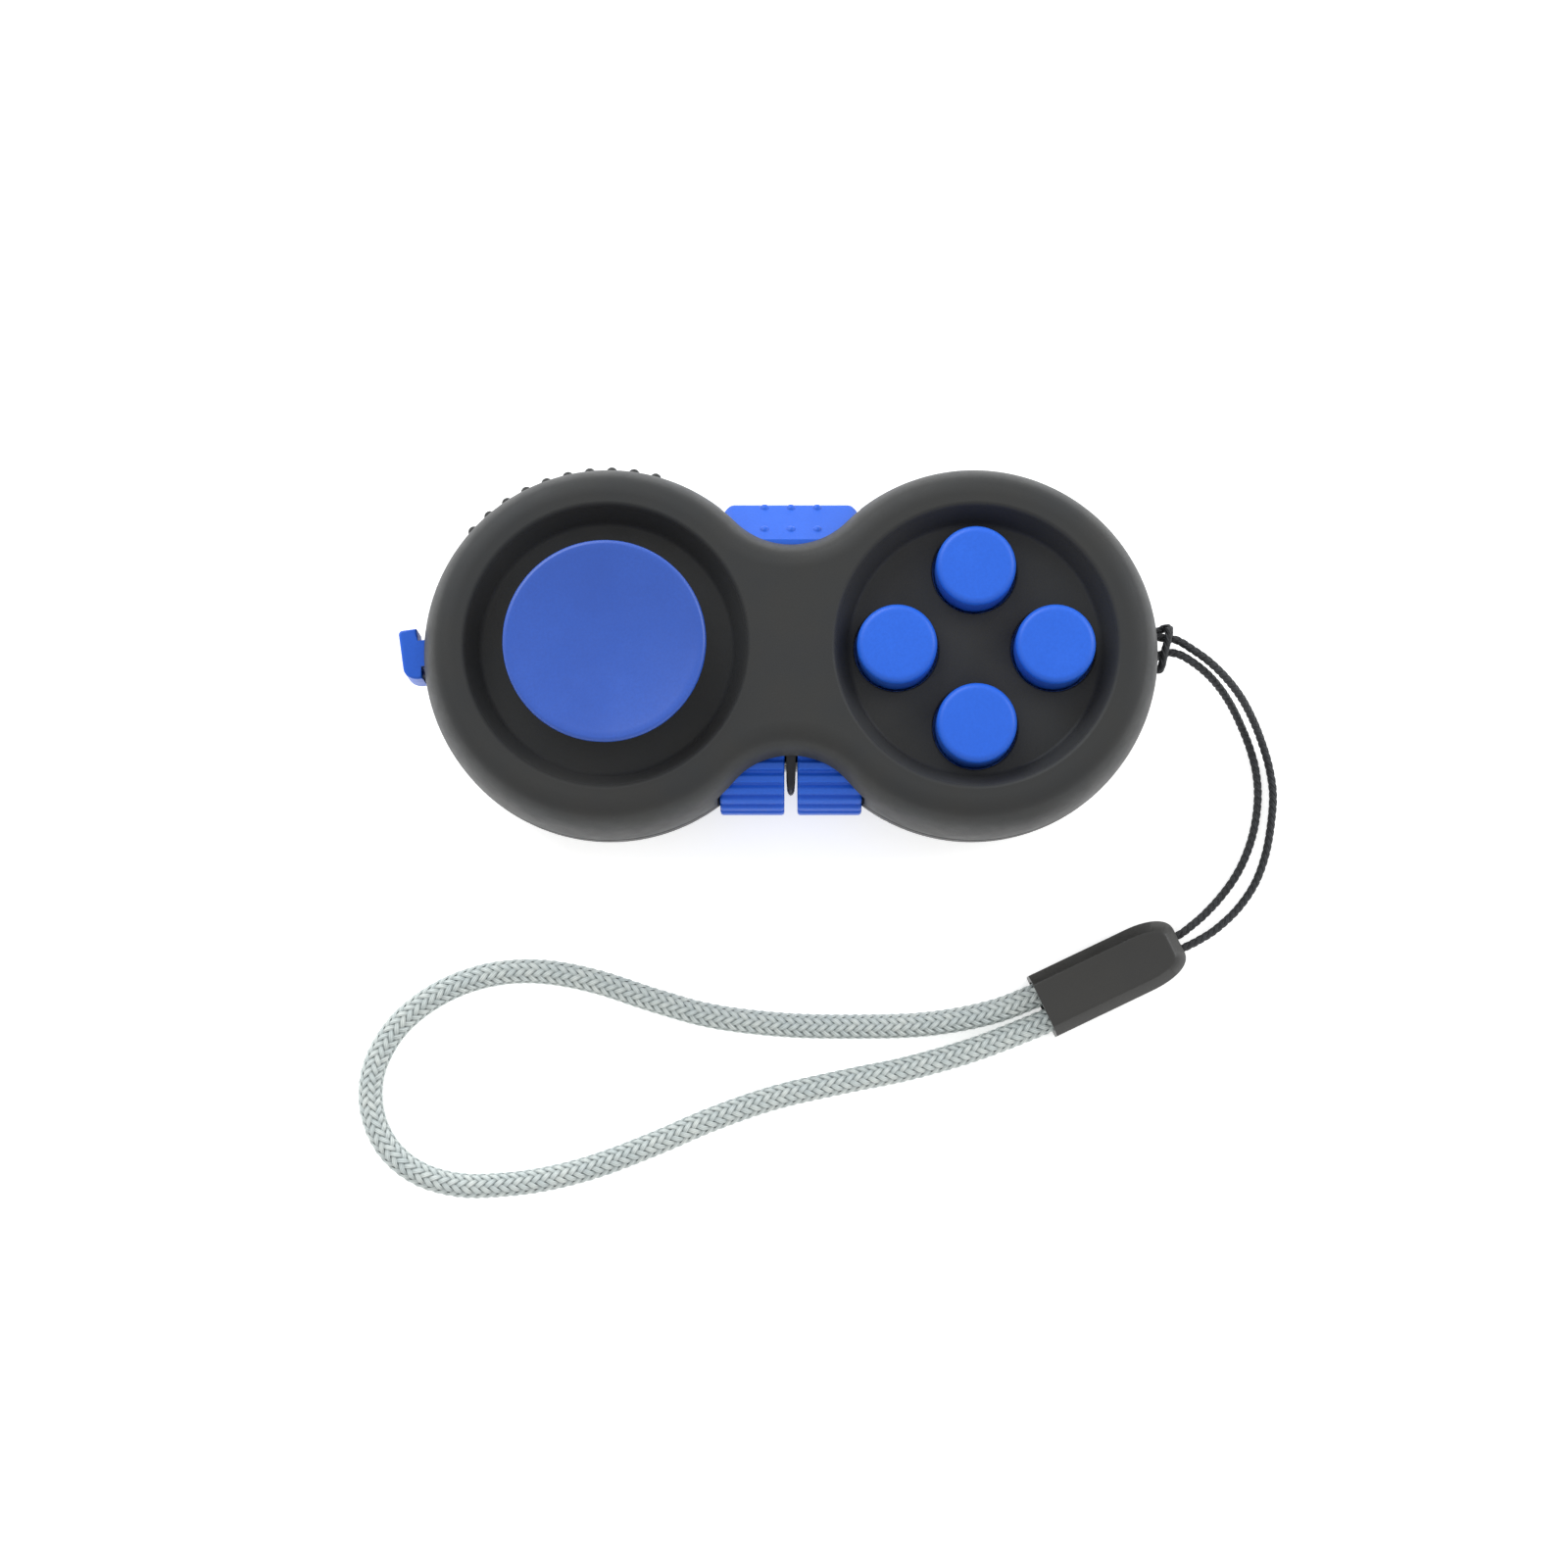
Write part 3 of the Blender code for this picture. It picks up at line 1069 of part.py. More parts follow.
def dial():
    """Spinning dial with a finger dimple, held by a washer and a screw inside the body."""
    rim = DIAL_RADIUS - DIAL_EDGE
    profile = [
        (0, DIAL_HUB_TOP), (DIAL_HUB_RADIUS, DIAL_HUB_TOP), (DIAL_HUB_RADIUS, DIAL_TOP),
        (rim, DIAL_TOP), (DIAL_RADIUS, DIAL_TOP - DIAL_EDGE), (DIAL_RADIUS, DIAL_BOTTOM + DIAL_EDGE),
        (rim, DIAL_BOTTOM), (0, DIAL_BOTTOM),
    ]
    disc = turned("spin_dial", profile, LEFT, BLUE, steps=WIDE_STEPS)
    ball_radius = (DIMPLE_RADIUS ** 2 + DIMPLE_DEPTH ** 2) / (2 * DIMPLE_DEPTH)
    shape = bmesh.new()
    bmesh.ops.create_uvsphere(
        shape, u_segments=20, v_segments=20, radius=ball_radius,
        matrix=Matrix.Translation(polar(LEFT, DIMPLE_OFFSET, 0, DIAL_BOTTOM + DIMPLE_DEPTH - ball_radius)),
    )
    cut(disc, mesh_object("dial_dimple", shape))
    seat = WASHER_BOTTOM + WASHER_THICKNESS + GAP
    reach = seat - DIAL_BOTTOM - 2 * GAP
    bore_start = at_height(LEFT, seat - reach - GAP)
    cut(disc, cylinder("dial_bore", SHANK_CLEARANCE, bore_start, at_height(LEFT, SEAM), steps=BORE_STEPS))
    washer_top = WASHER_BOTTOM + WASHER_THICKNESS
    section = [
        (SHANK_CLEARANCE, washer_top), (WASHER_RADIUS, washer_top),
        (WASHER_RADIUS, WASHER_BOTTOM), (SHANK_CLEARANCE, WASHER_BOTTOM),
    ]
    turned("dial_washer", section, LEFT, STEEL, steps=ROUND_STEPS, ring=True)
    screw("dial_screw", LEFT, seat, reach, upward=False)


# Lanyard

def smooth_route(points, spacing):
    """Points at an even spacing along a smooth curve through a route's own points."""
    route = [Vector(point) for point in points]
    ends = [route[0]] + route + [route[-1]]
    fine = []
    for before, start, end, after in zip(ends, ends[1:], ends[2:], ends[3:]):
        for step in range(ROUTE_STEPS):
            t = step / ROUTE_STEPS
            straight = 2 * start + (end - before) * t
            square = (2 * before - 5 * start + 4 * end - after) * t ** 2
            cube = (3 * start - before - 3 * end + after) * t ** 3
            fine.append((straight + square + cube) / 2)
    fine.append(route[-1])
    lengths = [0.0]
    for start, end in zip(fine, fine[1:]):
        lengths.append(lengths[-1] + (end - start).length)
    count = max(2, round(lengths[-1] / spacing))
    even = []
    index = 0
    for step in range(count + 1):
        wanted = lengths[-1] * step / count
        while index < len(lengths) - 2 and lengths[index + 1] < wanted:
            index += 1
        share = (wanted - lengths[index]) / (lengths[index + 1] - lengths[index])
        even.append(fine[index].lerp(fine[index + 1], share))
    return even


def tube(name, points, diameter, finish, closed=False):
    """A round cord along a line of points."""
    curve = bpy.data.curves.new(name, "CURVE")
    curve.dimensions = "3D"
    curve.bevel_depth = diameter / 2
    curve.bevel_resolution = 2
    curve.use_fill_caps = not closed
    spline = curve.splines.new("POLY")
    spline.points.add(len(points) - 1)
    for knot, point in zip(spline.points, points):
        knot.co = (*point, 1.0)
    spline.use_cyclic_u = closed
    spline.use_smooth = True
    return add_object(name, curve, finish)


def lanyard():
    """Hitch through the two eyes, two string strands, the clip and the braided wrist loop."""
    middle = Vector((HALF_SPACING + LOBE_RADIUS - WALL / 2, EYE_OFFSET, SEAM))
    half_length = WALL / 2 + HITCH_SLACK
    ring = []
    for step in range(HITCH_STEPS):
        angle = math.tau * step / HITCH_STEPS
        ring.append(middle + Vector((half_length * math.cos(angle), EYE_SPACING / 2 * math.sin(angle), 0)))
    tube("lanyard_hitch", ring, STRING_DIAMETER, STRING_BLACK, closed=True)
    for name, route in (("strand_outer", OUTER_STRAND_ROUTE), ("strand_inner", INNER_STRAND_ROUTE)):
        tube(name, smooth_route(route, 2.5 * STRING_DIAMETER), STRING_DIAMETER, STRING_BLACK)
    tube("wrist_loop", smooth_route(WRIST_LOOP_ROUTE, 2.2 * CORD_DIAMETER), CORD_DIAMETER, CORD_GREY)

    cord_clip()


def cord_clip():
    """Moulded clip with a flat mouth, bevelled long sides and a rounded tip."""
    half = CLIP_WIDTH / 2
    tip_half = half * CLIP_TIP_SHARE
    shoulder = CLIP_LENGTH - CLIP_TIP_ROUND
    outline = [(0, -half), (shoulder, -half)]
    for angle in quarter(CLIP_TIP_STEPS)[1:]:
        reach = shoulder + CLIP_TIP_ROUND * math.sin(angle)
        outline.append((reach, -tip_half - (half - tip_half) * math.cos(angle)))
    outline += [(x, -y) for x, y in reversed(outline)]
    lean = Matrix.Rotation(CLIP_ANGLE, 4, "Z")
    shift = Matrix.Translation((CLIP_MOUTH.x, CLIP_MOUTH.y, CLIP_LIFT))
    rings = []
    for inset, height in (
        (CLIP_FOOT_BEVEL, 0), (0, CLIP_FOOT_BEVEL),
        (0, CLIP_THICKNESS - CLIP_BEVEL), (CLIP_BEVEL, CLIP_THICKNESS),
    ):
        ring = []
        for x, y in outline:
            narrowed = y * (half - inset) / half
            ring.append(shift @ lean @ Vector((min(x, CLIP_LENGTH - inset), narrowed, height)))
        rings.append(ring)
    lofted("cord_clip", rings, CLIP_BLACK)


top_shell()
bottom_shell()
shell_screws()
stick()
buttons()
rocker()
rollers()
flip_lever()
dial()
lanyard()
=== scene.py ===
"""Looks of the two-lobed fidget pad with its wrist lanyard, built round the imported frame.

Shapes are made in millimetres and brought to metres as each piece is finished.
"""
import json
import math

import bmesh
import bpy
from mathutils import Matrix, Vector


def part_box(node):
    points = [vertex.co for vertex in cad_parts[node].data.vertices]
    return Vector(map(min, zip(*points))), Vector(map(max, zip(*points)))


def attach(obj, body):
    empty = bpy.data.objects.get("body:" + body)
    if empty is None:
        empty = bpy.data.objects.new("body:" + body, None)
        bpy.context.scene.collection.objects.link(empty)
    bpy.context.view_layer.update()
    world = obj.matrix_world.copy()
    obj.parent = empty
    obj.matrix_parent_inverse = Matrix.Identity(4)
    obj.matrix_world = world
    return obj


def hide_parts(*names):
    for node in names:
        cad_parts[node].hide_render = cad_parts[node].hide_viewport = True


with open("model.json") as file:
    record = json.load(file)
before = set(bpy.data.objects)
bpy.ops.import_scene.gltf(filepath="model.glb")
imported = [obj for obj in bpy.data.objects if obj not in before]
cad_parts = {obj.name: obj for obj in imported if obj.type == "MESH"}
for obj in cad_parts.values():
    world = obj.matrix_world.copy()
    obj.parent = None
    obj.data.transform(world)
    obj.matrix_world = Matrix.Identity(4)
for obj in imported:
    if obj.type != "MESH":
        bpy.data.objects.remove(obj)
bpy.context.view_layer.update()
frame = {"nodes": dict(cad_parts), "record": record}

MM = 0.001
BODY = "pad_body"


# Sizes read from the frame, in millimetres

def node_box(name):
    """Lowest and highest corner of a CAD node, in millimetres."""
    low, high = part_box(name)
    return low / MM, high / MM


def node_axis(name):
    """The middle of a CAD node, seen from above."""
    low, high = node_box(name)
    middle = (low + high) / 2
    return Vector((middle.x, middle.y, 0))


SHELL_LOW, SHELL_HIGH = node_box("top_shell")
BACK_HIGH = node_box("bottom_shell")[1]
LOBE_RADIUS = -SHELL_LOW.y
HALF_SPACING = SHELL_HIGH.x - LOBE_RADIUS
TOP = SHELL_HIGH.z
SEAM = (SHELL_LOW.z + BACK_HIGH.z) / 2
SEAM_GAP = SHELL_LOW.z - BACK_HIGH.z
LEFT = Vector((-HALF_SPACING, 0, 0))
RIGHT = Vector((HALF_SPACING, 0, 0))
GAP = 0.3                # clearance round each moving part

# Body form
WAIST_HALF_WIDTH = 12.7
WAIST_RADIUS = (HALF_SPACING ** 2 + WAIST_HALF_WIDTH ** 2 - LOBE_RADIUS ** 2) / 2
WAIST_RADIUS /= LOBE_RADIUS - WAIST_HALF_WIDTH
WAIST_CENTRE = WAIST_HALF_WIDTH + WAIST_RADIUS
WAIST_TURN = math.atan2(WAIST_CENTRE, HALF_SPACING)
EDGE_INSET = 4.0
EDGE_FULLNESS = 0.8
SEAM_ROUND = 0.25
WALL = 2.0
LOBE_STEPS = 132
WAIST_STEPS = 33
EDGE_STEPS = 18
EDGE_LEAST_RISE = 0.3
SEAM_STEPS = 3

# Recesses
FACE = TOP - 4.2
CEILING = FACE - 1.6
RECESS_FLOOR_RADIUS = 14.6
RECESS_RIM_RADIUS = 15.95
RIM_ROUND = 0.75
RECESS_FILLET = 0.4
RECESS_FILLET_BEND = 0.12

# Buttons and stick
BUTTON_NAMES = ("button_east", "button_north", "button_west", "button_south")
BUTTON_RADIUS = 4.55
STEM_HOLE_RADIUS = 7.13
HOLE_LIP = 0.22
HOLE_LIP_RAISE = 1.0001  # lifts the lip's last ring off the recess floor

# Cords
STRING_DRAWN = 1.0       # the strings are drawn as pulled tight
CORD_DIAMETER = 3.0


# Camera: above the pad, leaning a little towards -Y

CAMERA_TARGET = Vector((-0.8, -14.8, 11.0)) * MM
CAMERA_DISTANCE = 0.450
CAMERA_TILT = math.radians(6)
CAMERA_LENS = 89.1
SENSOR_WIDTH = 36.0


def placed(name, data):
    """A new object in the scene."""
    made = bpy.data.objects.new(name, data)
    bpy.context.scene.collection.objects.link(made)
    return made


def make_camera():
    """Camera at the photograph's angle and distance."""
    data = bpy.data.cameras.new("camera")
    data.lens = CAMERA_LENS
    data.sensor_width = SENSOR_WIDTH
    data.clip_start = 0.01
    camera = placed("camera", data)
    away = Vector((0, -math.sin(CAMERA_TILT), math.cos(CAMERA_TILT)))
    camera.location = CAMERA_TARGET + away * CAMERA_DISTANCE
    camera.rotation_euler = (CAMERA_TILT, 0, 0)
    bpy.context.scene.camera = camera


make_camera()


# Materials

def put(node, values):
    """Set the constants of a node's inputs."""
    for name, value in values.items():
        node.inputs[name].default_value = value


def maths(tree, kind, operation, value, factor=None):
    """A maths node on a socket, with its second number where it takes one."""
    made = tree.nodes.new(kind)
    made.operation = operation
    tree.links.new(value, made.inputs[0])
    if factor:
        made.inputs[1].default_value = factor
    return made.outputs[0]


def new_material(name):
    """A material with its shader, its output and its object coordinates in millimetres."""
    made = bpy.data.materials.new(name)
    made.use_nodes = True
    tree = made.node_tree
    shader = tree.nodes["Principled BSDF"]
    place = tree.nodes.new("ShaderNodeTexCoord").outputs["Object"]
    return made, tree, shader, maths(tree, "ShaderNodeVectorMath", "MULTIPLY", place, (1 / MM,) * 3)


def noise(tree, place, size, detail=3.0, rough=0.55):
    """Noise whose features are about size millimetres across."""
    made = tree.nodes.new("ShaderNodeTexNoise")
    put(made, {"Scale": 1 / size, "Detail": detail, "Roughness": rough})
    tree.links.new(place, made.inputs["Vector"])
    return made.outputs["Fac"]


def remap(tree, value, low, high, start=0.3, end=0.7):
    """Spread a noise value over a range."""
    made = tree.nodes.new("ShaderNodeMapRange")
    put(made, {"From Min": start, "From Max": end, "To Min": low, "To Max": high})
    tree.links.new(value, made.inputs["Value"])
    return made.outputs["Result"]


def mixed(tree, factor, first, second):
    """Blend two colours, each a triple or a socket."""
    made = tree.nodes.new("ShaderNodeMix")
    made.data_type = "RGBA"
    tree.links.new(factor, made.inputs["Factor"])
    for colour, socket in ((first, made.inputs["A"]), (second, made.inputs["B"])):
        if isinstance(colour, tuple):
            socket.default_value = (*colour, 1.0)
        else:
            tree.links.new(colour, socket)
    return made.outputs["Result"]


def bumped(tree, shader, layers, edge=0.0):
    """Chained bumps on the shader's normal. A layer is a height, its depth in mm and its strength."""
    normal = None
    if edge > 0:
        rounded = tree.nodes.new("ShaderNodeBevel")
        rounded.samples = 4
        put(rounded, {"Radius": edge * MM})
        normal = rounded.outputs["Normal"]
    for height, depth, strength in layers:
        made = tree.nodes.new("ShaderNodeBump")
        put(made, {"Distance": depth * MM, "Strength": strength})
        tree.links.new(height, made.inputs["Height"])
        if normal:
            tree.links.new(normal, made.inputs["Normal"])
        normal = made.outputs["Normal"]
    tree.links.new(normal, shader.inputs["Normal"])


def wire(tree, shader, colour, gloss):
    """Give the shader its colour and its roughness."""
    tree.links.new(colour, shader.inputs["Base Color"])
    tree.links.new(gloss, shader.inputs["Roughness"])


def moulded(
    name, colour, tint, roughness, grain=0.16, depth=0.012, specular=0.5, sheen=0.0, edge=0.0, coat=0.0
):
    """Moulded or coated plastic: cloudy colour, uneven gloss, fine grain and faint handling marks."""
    made, tree, shader, place = new_material(name)
    clouds = noise(tree, place, 9.0, 4.0)
    fine = noise(tree, place, grain, 2.0, 0.6)
    marks = noise(tree, place, 2.6, 6.0, 0.7)
    base = mixed(tree, remap(tree, clouds, 0.0, 1.0), colour, tint)
    darker = tuple(channel * 0.86 for channel in colour)
    base = mixed(tree, remap(tree, fine, 0.0, 0.5), base, darker)
    wire(tree, shader, base, remap(tree, marks, roughness - 0.05, roughness + 0.07))
    put(shader, {"Specular IOR Level": specular, "Coat Weight": coat, "Coat Roughness": 0.35})
    put(shader, {"Sheen Weight": sheen, "Sheen Roughness": 0.45})
    bumped(tree, shader, ((marks, depth * 1.6, 0.35), (fine, depth, 0.8)), edge)
    return made


def metal(name, colour, roughness):
    """Plated steel with fine turning lines and a little unevenness."""
    made, tree, shader, place = new_material(name)
    lines = noise(tree, maths(tree, "ShaderNodeVectorMath", "MULTIPLY", place, (1.0, 1.0, 9.0)), 0.5, 3.0)
    clouds = noise(tree, place, 2.0, 3.0)
    darker = tuple(channel * 0.75 for channel in colour)
    base = mixed(tree, remap(tree, clouds, 0.0, 1.0), colour, darker)
    gloss = remap(tree, lines, roughness - 0.07, roughness + 0.1)
    wire(tree, shader, base, gloss)
    put(shader, {"Metallic": 1.0})
    bumped(tree, shader, ((lines, 0.01, 0.5),), 0.08)
    return made


def yarn(name, colour, tint, shade, filaments, roughness, sheen):
    """Braided yarn: filaments along it, a colour for each yarn, and painted shade in the gaps between."""
    made, tree, shader, place = new_material(name)
    along = tree.nodes.new("ShaderNodeAttribute")
    along.attribute_name = "yarn"
    split = tree.nodes.new("ShaderNodeSeparateColor")
    tree.links.new(along.outputs["Color"], split.inputs["Color"])
    turns = maths(tree, "ShaderNodeMath", "MULTIPLY", split.outputs["Red"], math.tau * filaments)
    stripes = maths(tree, "ShaderNodeMath", "SINE", turns)
    fuzz = noise(tree, place, 0.12, 3.0, 0.7)
    patches = noise(tree, place, 4.0, 3.0)
    base = mixed(tree, split.outputs["Green"], colour, tint)
    base = mixed(tree, remap(tree, patches, 0.0, 0.45), base, tint)
    # Painted shade: in the grooves between filaments, on each yarn's lower side and where it dips under its
    # neighbours
    base = mixed(tree, remap(tree, stripes, 0.35, 0.0, -1.0, 1.0), base, shade)
    base = mixed(tree, remap(tree, split.outputs["Blue"], 1.0, 0.0, 0.15, 0.95), base, shade)
    wire(tree, shader, base, remap(tree, fuzz, roughness - 0.08, roughness + 0.1))
    put(shader, {"Specular IOR Level": 0.4, "Sheen Weight": sheen, "Sheen Roughness": 0.4})
    bumped(tree, shader, ((stripes, 0.02, 0.55), (fuzz, 0.03, 0.5)))
    return made


SOFT_BLACK = moulded(
    "soft_touch_black", (0.0345, 0.0342, 0.0325), (0.029, 0.031, 0.033), 0.50, grain=0.22, depth=0.014,
    specular=0.20, sheen=0.04, edge=0.14,
)
BLUE = moulded(
    "moulded_blue", (0.015, 0.108, 0.60), (0.018, 0.120, 0.65), 0.40, grain=0.28, depth=0.008, specular=0.30,
    edge=0.10, coat=0.03,
)
# The buttons' blue plastic drawn darker for the stick's cap: painted shade of its dish
CAP_BLUE_PAINTED_SHADE = moulded(
    "cap_blue_painted_shade", (0.009, 0.066, 0.38), (0.012, 0.078, 0.43), 0.40, grain=0.30, depth=0.008, specular=0.60,
    edge=0.10, coat=0.08,
)
PALE = moulded("natural_plastic", (0.62, 0.62, 0.58), (0.56, 0.56, 0.53), 0.45, edge=0.06)
SILICONE = moulded("grey_silicone", (0.30, 0.31, 0.33), (0.26, 0.27, 0.30), 0.58, sheen=0.1, edge=0.06)
CLIP = moulded(
    "moulded_black", (0.028, 0.027, 0.024), (0.022, 0.022, 0.022), 0.36, grain=0.20, depth=0.014, edge=0.10
)
STEEL = metal("plated_steel", (0.56, 0.57, 0.59), 0.28)
CORD_YARN = yarn(
    "silver_grey_braid", (0.74, 0.78, 0.74), (0.52, 0.59, 0.59), (0.07, 0.10, 0.11), 3.0, 0.36, 0.12
)
STRING_YARN = yarn(
    "black_braid", (0.016, 0.017, 0.019), (0.026, 0.031, 0.037), (0.005, 0.005, 0.006), 2.0, 0.50, 0.08
)
# Dark core inside the pale braid: painted shade that shows in the gaps between the yarns
CORE_PAINTED_SHADE = moulded("cord_core_painted_shade", (0.11, 0.14, 0.15), (0.09, 0.12, 0.13), 0.8)
CORE_BLACK = moulded("string_core", (0.006, 0.006, 0.007), (0.008, 0.008, 0.009), 0.8)

FINISHES = {
    "soft_black": SOFT_BLACK, "blue": BLUE, "pale_plastic": PALE, "steel": STEEL, "silicone": SILICONE,
    "clip_black": CLIP, "cord_grey": CORD_YARN, "string_black": STRING_YARN,
}

# Pale inner pieces, drawn black as painted shade inside the body, because they show through the stem's hole
# when the stick moves
PAINTED_SHADE_NODES = ("stick_retainer", "cross_slide", "guide_plate")


def paint_frame():
    """Give every CAD node the procedural material of its slot, or black as painted shade."""
    for row in frame["record"]["subparts"]:
        slots = frame["nodes"][row["node"]].data.materials
        slots.clear()
        # Inner pieces get the clip's black as painted shade
        slots.append(CLIP if row["node"] in PAINTED_SHADE_NODES else FINISHES[row["material_slot"]])


paint_frame()


# Shaping tools, in millimetres

ON_AXIS = 1e-6
RING_STEPS = 40
DOT_STEPS = 5
DOT_SIDES = 20
DOT_ROOT = -0.3


def temporary(name, shape):
    """An object that holds a bmesh, in millimetres."""
    bmesh.ops.recalc_face_normals(shape, faces=shape.faces)
    mesh = bpy.data.meshes.new(name)
    shape.to_mesh(mesh)
    shape.free()
    return placed(name, mesh)


def carve(thing, operation, *shapes):
    """Cut each of the bmeshes from an object, or join them to it."""
    tools = [temporary("tool", shape) for shape in shapes]
    for tool in tools:
        step = thing.modifiers.new("step", "BOOLEAN")
        step.operation = operation
        step.solver = "EXACT"
        step.object = tool
    graph = bpy.context.evaluated_depsgraph_get()
    mesh = bpy.data.meshes.new_from_object(thing.evaluated_get(graph))
    thing.modifiers.clear()
    thing.data = mesh
    for tool in tools:
        bpy.data.objects.remove(tool, do_unlink=True)


def finish(thing, name, body, slot, *nodes, sharp=32, finish_material=None):
    """Bring a piece to metres, shade it, give it its finish and tie it to its body."""
    mesh = thing.data
    mesh.transform(Matrix.Scale(MM, 4))
    mesh.materials.clear()
    mesh.materials.append(finish_material or FINISHES[slot])
    mesh.shade_smooth()
    mesh.set_sharp_from_angle(angle=math.radians(sharp))
    weighted = thing.modifiers.new("weighted_normals", "WEIGHTED_NORMAL")
    weighted.keep_sharp = True
    thing.name = name
    mesh.name = name
    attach(thing, body)
    if nodes:
        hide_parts(*nodes)
    return thing


def skin(shape, lower, upper):
    """A band of faces between two rings of vertices."""
    count = len(lower)
    for index in range(count):
        following = (index + 1) % count
        shape.faces.new((lower[index], lower[following], upper[following], upper[index]))


def lofted(rings):
    """A closed solid through rings of equal point counts."""
    shape = bmesh.new()
    loops = [[shape.verts.new(point) for point in ring] for ring in rings]
    for lower, upper in zip(loops, loops[1:]):
        skin(shape, lower, upper)
    shape.faces.new(reversed(loops[0]))
    shape.faces.new(loops[-1])
    return shape


def circle(shape, centre, radius, height, steps):
    """A level ring of new vertices."""
    points = arc(centre.x, centre.y, radius, 0, math.tau, steps)
    return [shape.verts.new((x, y, height)) for x, y in points]


def turned(profile, centre, steps):
    """A solid turned about Z from (radius, height) points that start and end on the axis."""
    shape = bmesh.new()
    loops = []
    for radius, height in profile:
        if radius < ON_AXIS:
            loops.append([shape.verts.new((centre.x, centre.y, height))])
        else:
            loops.append(circle(shape, centre, radius, height, steps))
    for first, second in zip(loops, loops[1:]):
        for index in range(steps):
            following = (index + 1) % steps
            if len(first) == 1:
                shape.faces.new((first[0], second[index], second[following]))
            elif len(second) == 1:
                shape.faces.new((first[index], second[0], first[following]))
            else:
                shape.faces.new((first[index], second[index], second[following], first[following]))
    return shape


def tube_ring(centre, inner, outer, low, high):
    """A ring with square ends."""
    shape = bmesh.new()
    corners = ((inner, low), (outer, low), (outer, high), (inner, high))
    loops = [circle(shape, centre, radius, height, RING_STEPS) for radius, height in corners]
    for first, second in zip(loops, loops[1:] + loops[:1]):
        skin(shape, first, second)
    return shape


def rod(radius, start, end, steps):
    """A round bar between two points."""
    start = Vector(start)
    along = Vector(end) - start
    shape = bmesh.new()
    bmesh.ops.create_cone(
        shape, cap_ends=True, segments=steps, radius1=radius, radius2=radius, depth=along.length
    )
    lean = along.to_track_quat("Z", "Y").to_matrix().to_4x4()
    bmesh.ops.transform(shape, matrix=Matrix.Translation(start + along / 2) @ lean, verts=shape.verts)
    return shape


def upright(radius, place, low, high, steps):
    """A vertical bar between two heights above a place."""
    return rod(radius, place + Vector((0, 0, low)), place + Vector((0, 0, high)), steps)


def round_edges(shape, edges, offset):
    """Round some of a bmesh's edges."""
    bmesh.ops.bevel(
        shape, geom=edges, offset=offset, segments=4, profile=0.5, affect="EDGES", clamp_overlap=True
    )


def block(low, high, rounding=0.0):
    """A box between two corners, with rounded edges where asked."""
    low = Vector(low)
    high = Vector(high)
    shape = bmesh.new()
    bmesh.ops.create_cube(shape, size=1.0)
    bmesh.ops.scale(shape, verts=shape.verts, vec=high - low)
    bmesh.ops.translate(shape, verts=shape.verts, vec=(low + high) / 2)
    if rounding > 0:
        round_edges(shape, shape.edges[:], rounding)
    return shape


def dome(centre, direction, radius, height):
    """A low raised dot whose axis points along direction."""
    ball = (radius ** 2 + height ** 2) / (2 * height)
    reach = math.asin(radius / ball)
    angles = [reach * step / DOT_STEPS for step in range(DOT_STEPS + 1)]
    profile = [(ball * math.sin(angle), height - ball * (1 - math.cos(angle))) for angle in angles]
    profile += [(radius, DOT_ROOT), (0, DOT_ROOT)]
    shape = turned(profile, Vector((0, 0, 0)), DOT_SIDES)
    lean = Vector(direction).to_track_quat("Z", "Y").to_matrix().to_4x4()
    bmesh.ops.transform(shape, matrix=Matrix.Translation(centre) @ lean, verts=shape.verts)
    return shape


def gathered(shapes):
    """Several bmeshes as one."""
    whole = bmesh.new()
    for shape in shapes:
        holder = bpy.data.meshes.new("holder")
        shape.to_mesh(holder)
        shape.free()
        whole.from_mesh(holder)
        bpy.data.meshes.remove(holder)
    return whole


def append(thing, shape):
    """Add loose closed shapes to an object's mesh."""
    bmesh.ops.recalc_face_normals(shape, faces=shape.faces)
    shape.from_mesh(thing.data)
    shape.to_mesh(thing.data)
    shape.free()


def arc(x, y, radius, first, last, steps):
    """Points along an arc, without its last point."""
    angles = [first + (last - first) * step / steps for step in range(steps)]
    return [(x + radius * math.cos(angle), y + radius * math.sin(angle)) for angle in angles]


def corner(centre, radius, first, last, steps):
    """Points along a fillet in a profile, both ends included. Angles are in degrees."""
    angles = [math.radians(first + (last - first) * step / steps) for step in range(steps + 1)]
    return [(centre[0] + radius * math.cos(angle), centre[1] + radius * math.sin(angle)) for angle in angles]


# Cords: the routes are those of the CAD solids, in millimetres

OUTER_ROUTE = [
    (45.0, 2.0, 11.0), (46.8, 0.9, 11.0), (48.8, -0.4, 10.2), (50.9, -2.1, 8.6), (52.9, -4.1, 6.2),
    (54.6, -6.5, 3.6), (55.9, -9.1, 1.6), (56.8, -11.9, 0.7), (57.2, -15.0, 0.6), (56.9, -18.6, 0.6),
    (56.2, -22.2, 0.6), (54.9, -25.6, 0.6), (52.8, -28.6, 0.8), (50.2, -31.0, 1.5), (48.0, -32.4, 2.2),
    (46.4, -33.2, 2.5),
]
INNER_ROUTE = [
    (45.1, 0.4, 10.9), (46.7, -0.4, 10.4), (48.6, -1.6, 8.9), (50.4, -3.1, 6.7), (52.0, -4.9, 4.2),
    (53.4, -7.1, 2.0), (54.5, -9.5, 0.8), (55.2, -12.2, 0.6), (55.4, -15.2, 0.6), (55.0, -18.6, 0.6),
    (54.1, -21.7, 0.6), (52.7, -24.6, 0.6), (50.8, -27.2, 0.8), (48.7, -29.4, 1.5), (46.9, -30.9, 2.2),
    (45.8, -31.7, 2.5),
]
LOOP_REST = 1.6    # height of the loop's middle line where it lies on the floor
